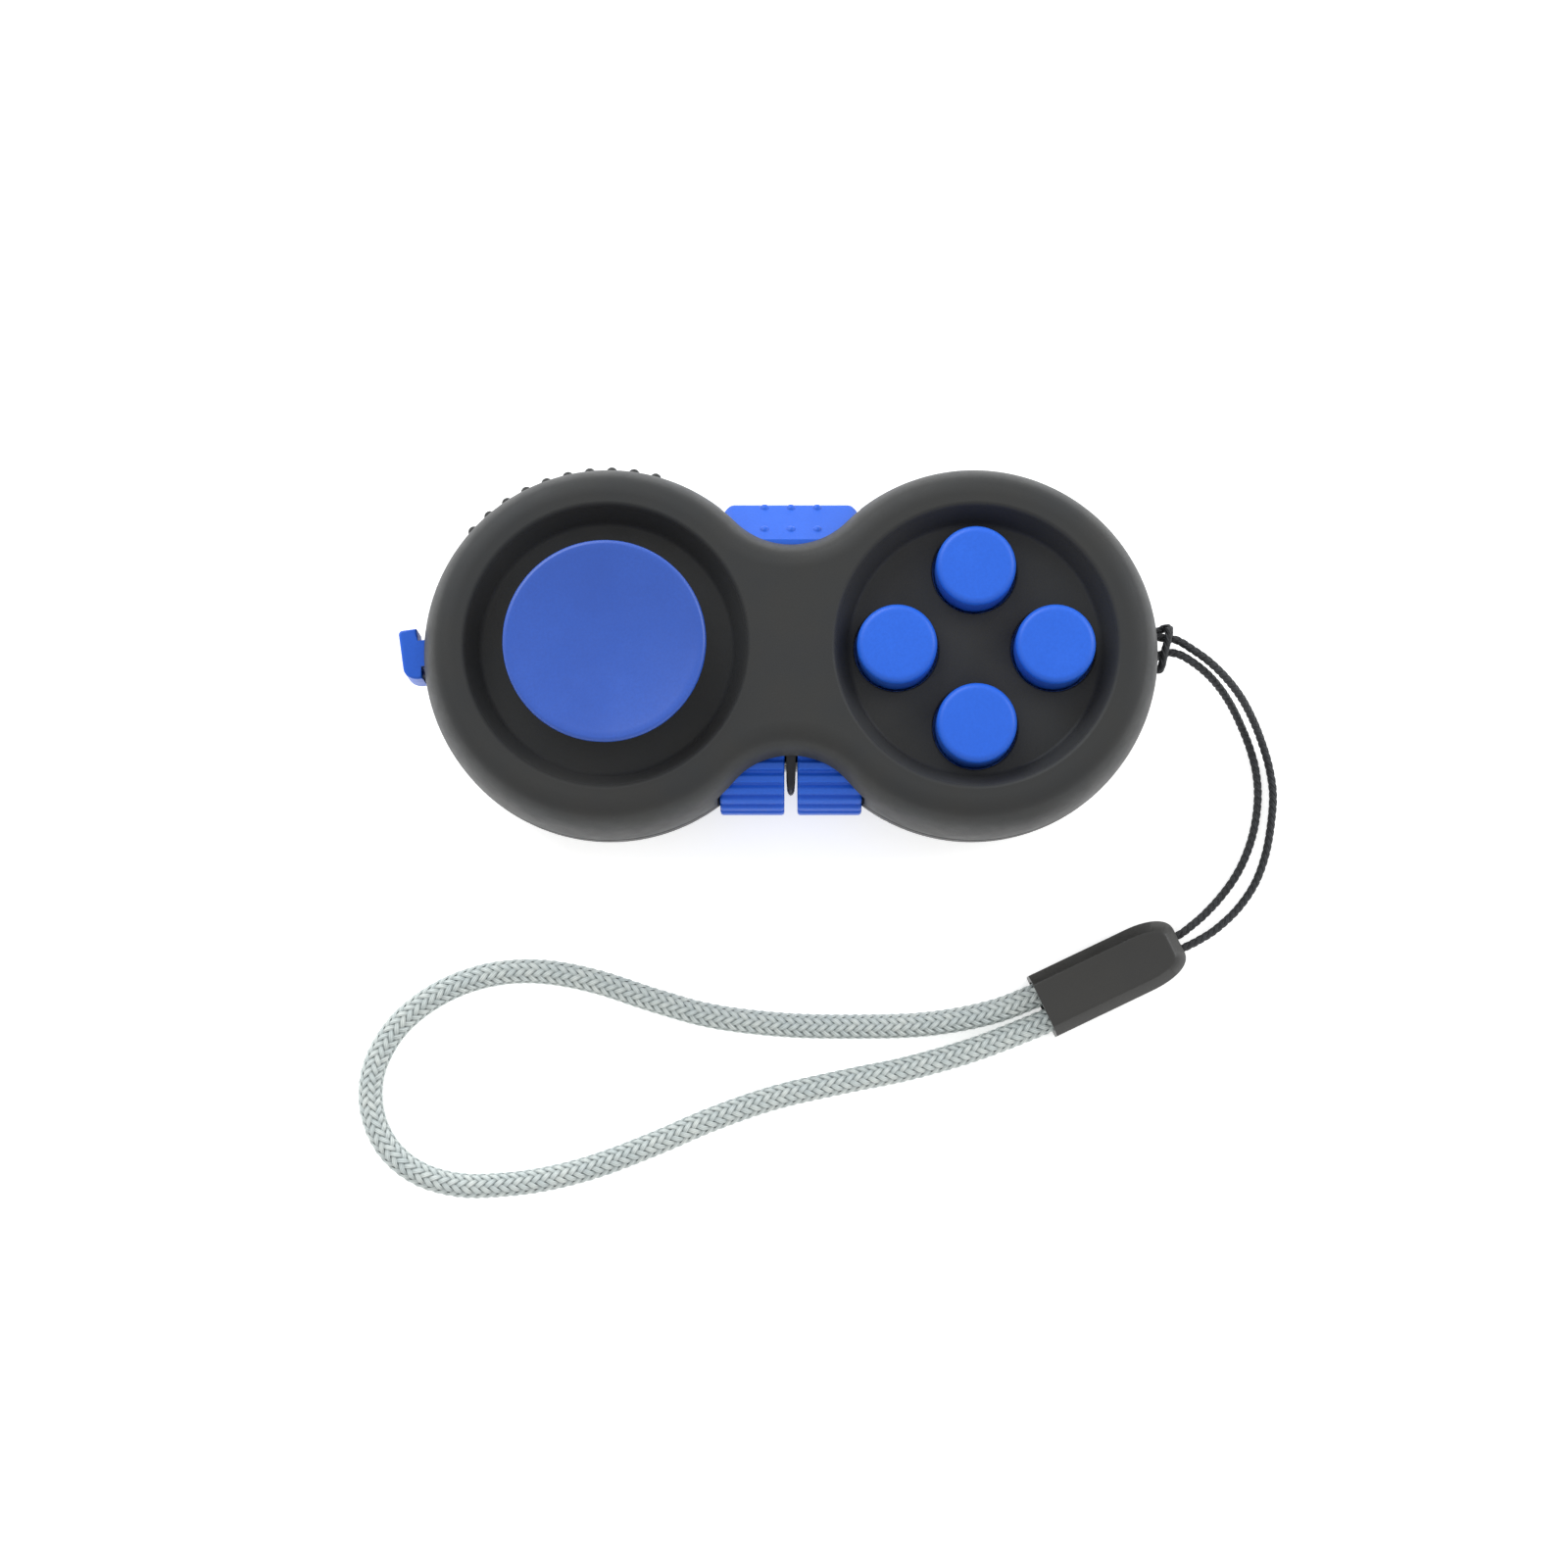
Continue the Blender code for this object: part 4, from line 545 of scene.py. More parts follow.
LOOP_ROUTE = [(28.5, -39.0, 2.3), (23.3, -40.9, 1.8)] + [(x, y, LOOP_REST) for x, y in (
    (16.0, -42.2), (7.6, -42.5), (-0.8, -42.3), (-9.1, -41.3), (-15.8, -39.5), (-22.6, -37.3), (-28.7, -36.1),
    (-34.2, -36.2), (-39.3, -37.6), (-43.8, -40.2), (-47.1, -43.6), (-49.1, -48.0), (-49.1, -52.6),
    (-47.2, -56.7), (-43.7, -59.6), (-39.0, -61.0), (-34.0, -61.0), (-28.6, -60.3), (-22.5, -58.7),
    (-15.7, -56.1), (-9.1, -53.3), (-1.8, -50.8), (6.5, -48.9), (13.8, -47.4),
)] + [(21.8, -45.1, 1.7), (30.0, -41.9, 2.3)]
ROUTE_STEPS = 12


def smooth_route(points, spacing):
    """Points at an even spacing along a smooth curve through a route's own points."""
    route = [Vector(point) for point in points]
    ends = [route[0]] + route + [route[-1]]
    fine = []
    for before, start, end, after in zip(ends, ends[1:], ends[2:], ends[3:]):
        for step in range(ROUTE_STEPS):
            t = step / ROUTE_STEPS
            straight = 2 * start + (end - before) * t
            square = (2 * before - 5 * start + 4 * end - after) * t ** 2
            cube = (3 * start - before - 3 * end + after) * t ** 3
            fine.append((straight + square + cube) / 2)
    fine.append(route[-1])
    lengths = [0.0]
    for start, end in zip(fine, fine[1:]):
        lengths.append(lengths[-1] + (end - start).length)
    count = max(2, round(lengths[-1] / spacing))
    even = []
    index = 0
    for step in range(count + 1):
        wanted = lengths[-1] * step / count
        while index < len(lengths) - 2 and lengths[index + 1] < wanted:
            index += 1
        share = (wanted - lengths[index]) / (lengths[index + 1] - lengths[index])
        even.append(fine[index].lerp(fine[index + 1], share))
    return even


def frames_along(line):
    """A direction and two side vectors at each point, carried along without twist."""
    found = []
    side = None
    for index, point in enumerate(line):
        ahead = line[min(index + 1, len(line) - 1)]
        behind = line[max(index - 1, 0)]
        along = (ahead - behind).normalized()
        if side is None:
            side = along.cross(Vector((0, 0, 1))).normalized()
        side = (side - along * side.dot(along)).normalized()
        found.append((point, along, side, along.cross(side)))
    return found


def route_length(line):
    """Length along a line of points, in metres."""
    return sum((end - start).length for start, end in zip(line, line[1:])) * MM


def tube_along(line, radius, sides):
    """A plain tube with closed ends along a line."""
    turns = [math.tau * index / sides for index in range(sides)]
    rings = []
    for point, _, side, up in frames_along(line):
        ring = [point + side * radius * math.cos(turn) + up * radius * math.sin(turn) for turn in turns]
        rings.append(ring)
    return lofted(rings)


# Braid
BRAID_LIFT_SHARE = 0.055
BRAID_WIDTH_SHARE = 0.43
BRAID_FLATNESS = 0.55
BRAID_TONES = 5
YARN_SIDES = 6
CORE_SIDES = 16


def yarn_ring(shape, layer, centre, across, rise, tone, wave):
    """One section of a yarn. Its colour layer holds the place across, the yarn's tone and the height, which
    the material turns into painted shade.
    """
    ring = []
    for index in range(YARN_SIDES):
        turn = math.tau * index / YARN_SIDES
        vert = shape.verts.new(centre + across * math.cos(turn) + rise * math.sin(turn))
        height = 0.5 + 0.25 * math.sin(turn) + 0.25 * wave
        vert[layer] = (0.5 + 0.5 * math.cos(turn), tone, height, 1.0)
        ring.append(vert)
    return ring


def braid(name, line, diameter, carriers, pitch, slot, core):
    """A round braid on a core: carriers wound each way, each passing over two and under two."""
    spots = frames_along(line)
    spacing = route_length(line) / MM / (len(line) - 1)
    lift = diameter * BRAID_LIFT_SHARE
    turn_rate = math.tau / pitch
    lean = math.atan2(math.pi * diameter, pitch)
    width = math.pi * diameter / carriers * math.cos(lean) * BRAID_WIDTH_SHARE
    thick = width * BRAID_FLATNESS
    middle = diameter / 2 - thick - lift
    shape = bmesh.new()
    layer = shape.verts.layers.float_color.new("yarn")
    for way in (1, -1):
        for carrier in range(carriers):
            start = math.tau * carrier / carriers
            tone = ((carrier * 7 + (3 if way > 0 else 0)) % BRAID_TONES) / BRAID_TONES / 2
            previous = None
            for index, (point, along, side, up) in enumerate(spots):
                angle = start + way * (turn_rate * spacing * index)
                outward = side * math.cos(angle) + up * math.sin(angle)
                around = up * math.cos(angle) - side * math.sin(angle)
                wave = way * math.cos(carriers / 2 * angle - math.pi / 4)
                radius = middle + lift * wave
                heading = (along + around * way * turn_rate * radius).normalized()
                across = heading.cross(outward).normalized()
                centre = point + outward * radius
                ring = yarn_ring(shape, layer, centre, across * width, outward * thick, tone, wave)
                if previous:
                    skin(shape, previous, ring)
                else:
                    shape.faces.new(reversed(ring))
                previous = ring
            shape.faces.new(previous)
    thing = temporary(name, shape)
    finish(thing, name, BODY, slot)
    add_core(thing, tube_along(line, middle - lift * 0.5, CORE_SIDES), core)
    return thing


def add_core(thing, shape, material):
    """Put a plain tube inside a finished braid, in a material of its own."""
    filler = temporary("core", shape)
    filler.data.transform(Matrix.Scale(MM, 4))
    joined = bmesh.new()
    joined.from_mesh(thing.data)
    first = len(joined.faces)
    joined.from_mesh(filler.data)
    joined.faces.ensure_lookup_table()
    for face in joined.faces[first:]:
        face.material_index = 1
        face.smooth = True
    thing.data.materials.append(material)
    joined.to_mesh(thing.data)
    joined.free()
    bpy.data.objects.remove(filler, do_unlink=True)


# Clip

CLIP_LENGTH = 17.8
CLIP_WIDTH = 7.8
CLIP_THICKNESS = 5.0
CLIP_BEVEL = 1.25
CLIP_MOUTH = Vector((29.5, -40.2, 0.1))
CLIP_ANGLE = math.radians(25.5)
CLIP_TIP_ROUND = 5.07
CLIP_TIP_SHARE = 0.34
CLIP_TIP_POWER = 0.8
CLIP_TIP_STEPS = 20
CLIP_SIDE_STEPS = 6
CLIP_SHOULDER = CLIP_THICKNESS - CLIP_BEVEL
CLIP_LEVELS = (          # inset and height: rounded foot, upright side, bevel and softened top
    (0.55, 0.0), (0.3, 0.06), (0.1, 0.22), (0.0, 0.5), (0.0, CLIP_SHOULDER - 0.15),
    (0.06, CLIP_SHOULDER + 0.02), (CLIP_BEVEL - 0.12, CLIP_THICKNESS - 0.12),
    (CLIP_BEVEL + 0.05, CLIP_THICKNESS - 0.02), (CLIP_BEVEL + 0.3, CLIP_THICKNESS),
)
CLIP_SIDE_WALL = 0.75
CLIP_FLOOR = 0.7
CLIP_ROOF = 0.8
CLIP_MOUTH_DEPTH = 4.2
CLIP_EYE_RADIUS = 1.25
CLIP_EYE_DEPTH = 2.5
LOOP_TAIL = 3.0          # how far the wrist loop and the strings run on into the clip
STRING_TAIL = 1.6


def clip_outline(inset):
    """The clip's outline seen from above, mouth first, drawn in by inset."""
    half = CLIP_WIDTH / 2 - inset
    tip_half = half * CLIP_TIP_SHARE
    shoulder = CLIP_LENGTH - CLIP_TIP_ROUND
    tip = CLIP_TIP_ROUND - inset
    points = [(shoulder * step / CLIP_SIDE_STEPS, -half) for step in range(CLIP_SIDE_STEPS)]
    for step in range(CLIP_TIP_STEPS + 1):
        angle = math.pi / 2 * step / CLIP_TIP_STEPS
        spread = tip_half + (half - tip_half) * math.cos(angle) ** CLIP_TIP_POWER
        points.append((shoulder + tip * math.sin(angle), -spread))
    return points + [(x, -y) for x, y in reversed(points)]


def make_clip():
    """Moulded clip: bevelled sides, rounded tip, and a hollow mouth for both cord ends."""
    half = CLIP_WIDTH / 2 - CLIP_SIDE_WALL
    middle = CLIP_THICKNESS / 2
    end = CLIP_LENGTH - CLIP_EYE_DEPTH
    shell = lofted([[(x, y, height) for x, y in clip_outline(inset)] for inset, height in CLIP_LEVELS])
    mouth = block((-2.0, -half, CLIP_FLOOR), (CLIP_MOUTH_DEPTH, half, CLIP_THICKNESS - CLIP_ROOF), 0.8)
    eye = rod(CLIP_EYE_RADIUS, (end, 0, middle), (CLIP_LENGTH + 2, 0, middle), 32)
    lean = Matrix.Translation(CLIP_MOUTH) @ Matrix.Rotation(CLIP_ANGLE, 4, "Z")
    for shape in (shell, mouth, eye):
        bmesh.ops.transform(shape, matrix=lean, verts=shape.verts)
    piece = temporary("clip", shell)
    carve(piece, "DIFFERENCE", mouth, eye)
    return finish(piece, "clip", BODY, "clip_black", "cord_clip", sharp=28)


# The strands' ends behind the knot, and the bight that leaves the lower eye, crosses over both
# strands and goes back into the upper eye
OUTER_TAIL = [(41.2, 2.45, 11.0), (42.4, 2.4, 11.0), (43.6, 2.25, 11.0)]
INNER_TAIL = [(41.0, -0.45, 10.9), (42.2, -0.15, 10.9), (43.5, 0.55, 10.9)]
HITCH_ROUTE = [
    (40.8, -1.15, 11.0), (42.0, -1.30, 11.0), (42.85, -1.45, 11.4), (43.1, -0.85, 12.0), (43.3, 0.1, 12.2),
    (43.55, 1.1, 12.2), (43.8, 2.1, 12.2), (44.0, 3.0, 11.9), (43.9, 3.45, 11.2), (43.4, 3.4, 10.6),
    (42.6, 3.1, 10.5), (41.0, 3.0, 10.8),
]


def string_braid(name, line):
    """A black string along a line."""
    return braid(name, line, STRING_DRAWN, 4, 3.6, "string_black", CORE_BLACK)


def make_lanyard():
    """Clip, wrist loop, two strands and the hitch."""
    clip = make_clip()
    along = Vector((math.cos(CLIP_ANGLE), math.sin(CLIP_ANGLE), 0))
    first = Vector(LOOP_ROUTE[0]) + along * LOOP_TAIL
    last = Vector(LOOP_ROUTE[-1]) + along * LOOP_TAIL
    loop_line = smooth_route([first] + LOOP_ROUTE + [last], 0.30)
    # The wrist loop's dark core is painted shade between its yarns
    loop = braid("wrist_loop_braid", loop_line, CORD_DIAMETER, 10, 11.0, "cord_grey", CORE_PAINTED_SHADE)
    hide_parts("wrist_loop")
    knot = string_braid("hitch_knot", smooth_route(HITCH_ROUTE, 0.14))
    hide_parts("lanyard_hitch")
    for name, tail, route, node in (
        ("outer_string", OUTER_TAIL, OUTER_ROUTE, "strand_outer"),
        ("inner_string", INNER_TAIL, INNER_ROUTE, "strand_inner"),
    ):
        end = Vector(route[-1]) - along * STRING_TAIL
        line = smooth_route(tail + route + [end], 0.16)
        strand = string_braid(name, line)
        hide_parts(node)


make_lanyard()


# Body shells

def outline(inset):
    """The two lobes and the waist arcs between them, drawn in by inset."""
    lobe = LOBE_RADIUS - inset
    waist = WAIST_RADIUS + inset
    open_turn = math.pi - WAIST_TURN
    points = arc(HALF_SPACING, 0, lobe, -open_turn, open_turn, LOBE_STEPS)
    points += arc(0, WAIST_CENTRE, waist, -WAIST_TURN, -open_turn, WAIST_STEPS)
    points += arc(-HALF_SPACING, 0, lobe, WAIST_TURN, math.tau - WAIST_TURN, LOBE_STEPS)
    points += arc(0, -WAIST_CENTRE, waist, open_turn, WAIST_TURN, WAIST_STEPS)
    return points


def inset_at(height):
    """How far the side is drawn in at a height above or below the seam."""
    sine = (abs(height) / (TOP - SEAM)) ** (1 / EDGE_FULLNESS)
    return EDGE_INSET * (1 - (1 - sine ** 2) ** (EDGE_FULLNESS / 2))


def half_body(side):
    """The outer form of one shell, with a softened edge at the seam."""
    start = SEAM_GAP / 2
    levels = []
    for step in range(SEAM_STEPS + 1):
        angle = math.pi / 2 * step / SEAM_STEPS
        height = start + SEAM_ROUND * (1 - math.cos(angle))
        levels.append((SEAM_ROUND * (1 - math.sin(angle)) + inset_at(height), height))
    tall = TOP - SEAM
    for step in range(1, EDGE_STEPS):
        angle = math.pi / 2 * step / EDGE_STEPS
        height = tall * math.sin(angle) ** EDGE_FULLNESS
        if height > levels[-1][1] + EDGE_LEAST_RISE:
            levels.append((EDGE_INSET * (1 - math.cos(angle) ** EDGE_FULLNESS), height))
    levels.append((EDGE_INSET, tall))
    return lofted([[(x, y, SEAM + side * height) for x, y in outline(inset)] for inset, height in levels])


def cavity(low, high):
    """The hollow inside a shell."""
    return lofted([[(x, y, z) for x, y in outline(WALL)] for z in (low, high)])


def recess(centre):
    """Cutter for a face recess: rounded rim, sloping side, fillet and flat floor."""
    crest = RECESS_RIM_RADIUS + RIM_ROUND
    start = TOP + 0.03
    profile = [(0, TOP + WALL), (crest + 1, TOP + WALL), (crest + 1, start)]
    profile += corner((crest, start - RIM_ROUND), RIM_ROUND, 90, 180, 10)
    floor = RECESS_FLOOR_RADIUS
    slope = Vector((floor - RECESS_RIM_RADIUS, FACE - TOP + RIM_ROUND))
    foot = Vector((floor, FACE)) - slope.normalized() * RECESS_FILLET
    bend = (floor - RECESS_FILLET_BEND, FACE + RECESS_FILLET_BEND)
    profile += [(foot.x, foot.y), bend, (floor - RECESS_FILLET, FACE), (0, FACE)]
    return turned(profile, centre, 160)


def hole(centre, radius):
    """Cutter for a round hole in a recess's floor, with a rounded upper edge."""
    profile = [(0, SEAM), (radius, SEAM)]
    for step in range(5):
        angle = math.pi / 2 * step / 4
        height = FACE - HOLE_LIP + HOLE_LIP * math.sin(angle) * HOLE_LIP_RAISE
        profile.append((radius + HOLE_LIP * (1 - math.cos(angle)), height))
    profile += [(radius + HOLE_LIP, FACE + 1.0), (0, FACE + 1.0)]
    return turned(profile, centre, 96)


ROLLER_LOW, ROLLER_HIGH = node_box("roller_right")
AXLE_Y = (ROLLER_LOW.y + ROLLER_HIGH.y) / 2
ROLLER_RADIUS = (ROLLER_HIGH.z - ROLLER_LOW.z) / 2
ROLLER_START = ROLLER_LOW.x
ROLLER_END = ROLLER_HIGH.x
BAY_RADIUS = ROLLER_RADIUS + 0.5
ROCKER_HIGH = node_box("rocker")[1]
ROCKER_PIN_Y = node_axis("rocker_pin").y
FLIP_PIN = node_axis("flip_pin")
ROCKER_REACH = ROCKER_HIGH.y
ROCKER_BACK = ROCKER_REACH - 5.5
ROCKER_HALF_LENGTH = ROCKER_HIGH.x
ROCKER_HALF_HEIGHT = 5.9
AXLE_BORE = 1.3
PIN_BORE = 1.1

# Openings that cross the seam
ROCKER_SLOT_SPARE = 0.69
ROCKER_SLOT_BACK = ROCKER_BACK - 1.3
HUB_ROOM = (5.65, 3.26)          # half length and half height
HUB_ROOM_ENDS = (10.4, 12.9)
AXLE_HOLE_REACH = ROLLER_END + 3.75
LEVER_ROOM = (2.25, 3.7)         # half width and half height
EYE_RADIUS = 1.0
EYES_MIDDLE = 0.9
EYE_OFFSET = 1.75


def side_cutters():
    """Openings that cross the seam: rocker, its hub, axle, flip lever and lanyard eyes."""
    tall = ROCKER_HALF_HEIGHT + ROCKER_SLOT_SPARE
    wide = ROCKER_HALF_LENGTH + GAP
    hub, low = HUB_ROOM
    back, front = HUB_ROOM_ENDS
    neck, room = LEVER_ROOM
    x, y, _ = FLIP_PIN
    shapes = [
        block((-wide, ROCKER_SLOT_BACK, SEAM - tall), (wide, ROCKER_REACH + WALL, SEAM + tall), 0.35),
        block((-hub, back, SEAM - low), (hub, front, SEAM + low)),
        rod(AXLE_BORE, (-AXLE_HOLE_REACH, AXLE_Y, SEAM), (AXLE_HOLE_REACH, AXLE_Y, SEAM), 32),
        block((x - 7, y - neck, SEAM - room), (x - 1, y + neck, SEAM + room), 0.4),
    ]
    end = HALF_SPACING + LOBE_RADIUS
    for side in (-1, 1):
        y = EYES_MIDDLE + side * EYE_OFFSET
        shapes.append(rod(EYE_RADIUS, (end - 4, y, SEAM), (end + 2, y, SEAM), 28))
    return shapes


def roller_bay():
    """Cutter for the two rollers' bay."""
    reach = ROLLER_END + GAP
    return rod(BAY_RADIUS, (-reach, AXLE_Y, SEAM), (reach, AXLE_Y, SEAM), 96)


BAY_HALF_HEIGHT = BAY_RADIUS + 1.0
WEB_SECTIONS = (         # distance from the axle, half thickness, and share of the bay's half height
    (BAY_RADIUS + 1.6, 0.55, 1.0), (2.0, 0.55, 0.86), (-1.6, 0.52, 0.6),
    (-2.9, 0.42, 0.5), (-3.3, 0.24, 0.44), (-3.45, 0.08, 0.4),
)


def roller_web(side):
    """The thin web between the rollers, which tapers towards its tip."""
    rings = []
    for distance, half, share in WEB_SECTIONS:
        y = AXLE_Y + distance
        foot = SEAM + side * 0.3
        head = SEAM + side * (BAY_HALF_HEIGHT * share)
        rings.append([(-half, y, foot), (half, y, foot), (half, y, head), (-half, y, head)])
    return lofted(rings)


# Inner ends of the cheeks along X, their outer ends, and their lowest and highest Y
CHEEKS = (
    (ROLLER_END + 0.31, ROLLER_END + 2.05, AXLE_Y - 2.2, AXLE_Y + 2.2), (5.8, 7.55, 6.2, ROCKER_PIN_Y + 1.3),
)


def cheeks(low, high):
    """Blocks inside the waist that hold the axle's ends and the rocker's pin."""
    shapes = []
    for side in (-1, 1):
        for inner, outer, back, front in CHEEKS:
            near, far = sorted((side * inner, side * outer))
            shapes.append(block((near, back, low), (far, front, high)))
    return gathered(shapes)


DOT_HEIGHTS = (1.7, 4.6)
DOT_COLUMNS = 10
DOT_FIRST_ANGLE = 75
DOT_ANGLE_STEP = 7


def side_dots(side):
    """Rubbing dots in two rows round the left lobe's side."""
    shapes = []
    for height in DOT_HEIGHTS:
        for column in range(DOT_COLUMNS):
            angle = math.radians(DOT_FIRST_ANGLE + DOT_ANGLE_STEP * column)
            slope = (inset_at(height + 0.1) - inset_at(height - 0.1)) / 0.2
            outward = Vector((math.cos(angle), math.sin(angle), side * slope))
            radius = LOBE_RADIUS - inset_at(height) - 0.02
            spot = LEFT + Vector((radius * math.cos(angle), radius * math.sin(angle), SEAM + side * height))
            shapes.append(dome(spot, outward, 0.62, 0.42))
    return gathered(shapes)


SCREW_BORE = 1.2
SHELL_BOSS = 2.4
BOSSES = (               # screws, how many, their bosses' radius and lower end
    ("shell_screw", 4, SHELL_BOSS, SEAM + 0.16), ("guide_screw", 3, 1.9, 13.1),
    ("carrier_screw", 3, 1.9, 11.2),
)


def screw_places(family, count):
    """Axes of a family of screws, from the frame."""
    return [node_axis(f"{family}_{index + 1}") for index in range(count)]


def posts(places, radius, low, high):
    """Screw bosses, each with its bore, as one shape."""
    return gathered([tube_ring(place, SCREW_BORE, radius, low, high) for place in places])


def make_top_shell():
    """Face half of the body."""
    shell = temporary("top_skin", half_body(1))
    carve(shell, "DIFFERENCE", cavity(SEAM - 2, CEILING))
    carve(shell, "UNION", cheeks(SEAM + 0.15, CEILING + 0.8))
    carve(shell, "DIFFERENCE", recess(LEFT), recess(RIGHT), roller_bay())
    carve(shell, "UNION", roller_web(1))
    holes = [hole(node_axis(f"{name}_cap"), BUTTON_RADIUS + GAP) for name in BUTTON_NAMES]
    holes.insert(0, hole(LEFT, STEM_HOLE_RADIUS))
    carve(shell, "DIFFERENCE", *holes, *side_cutters())
    append(shell, side_dots(1))
    for family, count, radius, low in BOSSES:
        append(shell, posts(screw_places(family, count), radius, low, CEILING + 0.4))
    return finish(shell, "face_shell", BODY, "soft_black", "top_shell")


DIAL_RADIUS = 12.0
DIAL_RECESS_RADIUS = 12.6
DIAL_RECESS_DEPTH = 2.4
DIAL_HOLE_RADIUS = 3.3
DISH_RADIUS = 11.5
DISH_DEPTH = 1.9
DISH_CURVED_SHARE = 0.98
DISH_STEPS = 22
INNER_FLOOR = 4.0


def dial_recess():
    """Cutter for the dial's recess in the back, with a rounded outer edge."""
    profile = [(0, DIAL_RECESS_DEPTH), (DIAL_RECESS_RADIUS, DIAL_RECESS_DEPTH)]
    rim = DIAL_RECESS_RADIUS + 0.5
    profile += corner((rim, 0.5 - 0.01), 0.5, 180, 270, 6) + [(rim, -2.0), (0, -2.0)]
    return turned(profile, LEFT, 160)


def thumb_dish():
    """Cutter for the shallow dish in the back, which meets the rest face in a soft edge."""
    curve = (DISH_RADIUS ** 2 + DISH_DEPTH ** 2) / (2 * DISH_DEPTH)
    profile = [(0, DISH_DEPTH)]
    for step in range(1, DISH_STEPS + 1):
        radius = DISH_RADIUS * DISH_CURVED_SHARE * step / DISH_STEPS
        profile.append((radius, DISH_DEPTH - curve + math.sqrt(curve ** 2 - radius ** 2)))
    rim = DISH_RADIUS + 0.6
    profile += [(DISH_RADIUS + 0.25, 0.012), (rim, -0.03), (rim, -2.0), (0, -2.0)]
    return turned(profile, RIGHT, 160)


def counterbore(place):
    """Cutter for a screw's head, with a chamfered mouth."""
    return turned([(0, 2.3), (2.1, 2.3), (2.1, 0.25), (2.45, -0.1), (2.45, -1), (0, -1)], place, 48)


def make_bottom_shell():
    """Back half of the body."""
    shell = temporary("back_skin", half_body(-1))
    carve(shell, "DIFFERENCE", cavity(INNER_FLOOR, SEAM + 2))
    carve(shell, "UNION", cheeks(INNER_FLOOR - 0.8, SEAM - 0.15))
    carve(shell, "DIFFERENCE", roller_bay(), dial_recess(), thumb_dish())
    carve(shell, "UNION", roller_web(-1))
    places = screw_places("shell_screw", 4)
    holes = [upright(DIAL_HOLE_RADIUS, LEFT, 0, 9, 64)]
    for place in places:
        holes += [counterbore(place), upright(SCREW_BORE, place, 1, 9, 32)]
    carve(shell, "DIFFERENCE", *holes, *side_cutters())
    append(shell, side_dots(-1))
    append(shell, posts(places, SHELL_BOSS, INNER_FLOOR - 0.4, SEAM - 0.16))
    return finish(shell, "back_shell", BODY, "soft_black", "bottom_shell")


make_top_shell()
make_bottom_shell()


# Glide stick and buttons

CAP_EDGE = 0.5
CAP_DISH_DEPTH = 1.1
CAP_DISH_SHARE = 0.955   # of the cap's radius
CAP_STEPS = 18
STEM_RADIUS = 4.0


def make_stick():
    """Glide stick's cap: shallow dish, thin rounded edge and tapered underside."""
    low, high = node_box("stick_cap")
    radius = (high.x - low.x) / 2
    top = high.z
    profile = []
    for step in range(CAP_STEPS):
        share = step / CAP_STEPS
        profile.append((radius * CAP_DISH_SHARE * share, top - 0.02 - CAP_DISH_DEPTH * (1 - share ** 2)))
    edge = (radius - CAP_EDGE, top - CAP_EDGE)
    profile += corner(edge, CAP_EDGE, 88, 0, 8) + corner(edge, CAP_EDGE, -15, -60, 4)
    profile += [(6.0, top - 3.6), (4.6, top - 4.2), (STEM_RADIUS, top - 4.9)]
    profile += [(STEM_RADIUS, CEILING), (0, CEILING)]
    cap = temporary("stick", turned(profile, LEFT, 160))
    carve(cap, "DIFFERENCE", upright(SCREW_BORE, LEFT, SEAM, FACE + 1.6, 32))
    # The cap takes the darker blue, painted shade of its dish
    finish(cap, "glide_stick_cap", "stick", "blue", "stick_cap", finish_material=CAP_BLUE_PAINTED_SHADE)


BUTTON_FILLET = 0.8
FLANGE_THICKNESS = 1.2
FLANGE_ROUND = 0.15


def make_buttons():
    """Four click buttons with filleted tops and flanges."""
    for name in BUTTON_NAMES:
        low, high = node_box(f"{name}_cap")
        flange = (high.x - low.x) / 2
        inner = flange - FLANGE_ROUND
        shoulder = low.z + FLANGE_THICKNESS
        fillet = (BUTTON_RADIUS - BUTTON_FILLET, high.z - BUTTON_FILLET)
        profile = [(0, high.z), (BUTTON_RADIUS * 0.5, high.z - 0.004)]
        profile += corner(fillet, BUTTON_FILLET, 90, 0, 10)
        profile += [(BUTTON_RADIUS, shoulder), (inner, shoulder), (flange, low.z + 1.05)]
        profile += [(flange, low.z + FLANGE_ROUND), (inner, low.z), (0, low.z)]
        cap = temporary(name, turned(profile, node_axis(f"{name}_cap"), 112))
        finish(cap, f"{name}_top", name, "blue", f"{name}_cap")


make_stick()
make_buttons()


# Rocker

ROCKER_ROUND = 0.35
ROCKER_CHAMFER = 0.75
ROCKER_NOSE = 1.2        # half height of the nose
ROCKER_FLAT = 0.6        # length of the level part behind the slopes
ROCKER_HUB = (5.5, 2.2)  # half length and radius
ROCKER_DOT_PLACES = (0.30, 0.92)
ROCKER_DOT_SPACING = 3.05


def rocker_dots():
    """Three columns of dots on both slopes of the rocker."""
    start = Vector((0, ROCKER_BACK + ROCKER_FLAT, ROCKER_HALF_HEIGHT))
    end = Vector((0, ROCKER_REACH, ROCKER_NOSE))
    slope = (end - start).normalized()
    outward = Vector((0, -slope.z, slope.y))
    dots = []
    for share in ROCKER_DOT_PLACES:
        spot = start.lerp(end, share) - outward * 0.03
        for column in (-1, 0, 1):
            for side in (-1, 1):
                place = Vector((column * ROCKER_DOT_SPACING, spot.y, SEAM + side * spot.z))
                dots.append(dome(place, Vector((0, outward.y, side * outward.z)), 0.56, 0.33))
    return gathered(dots)


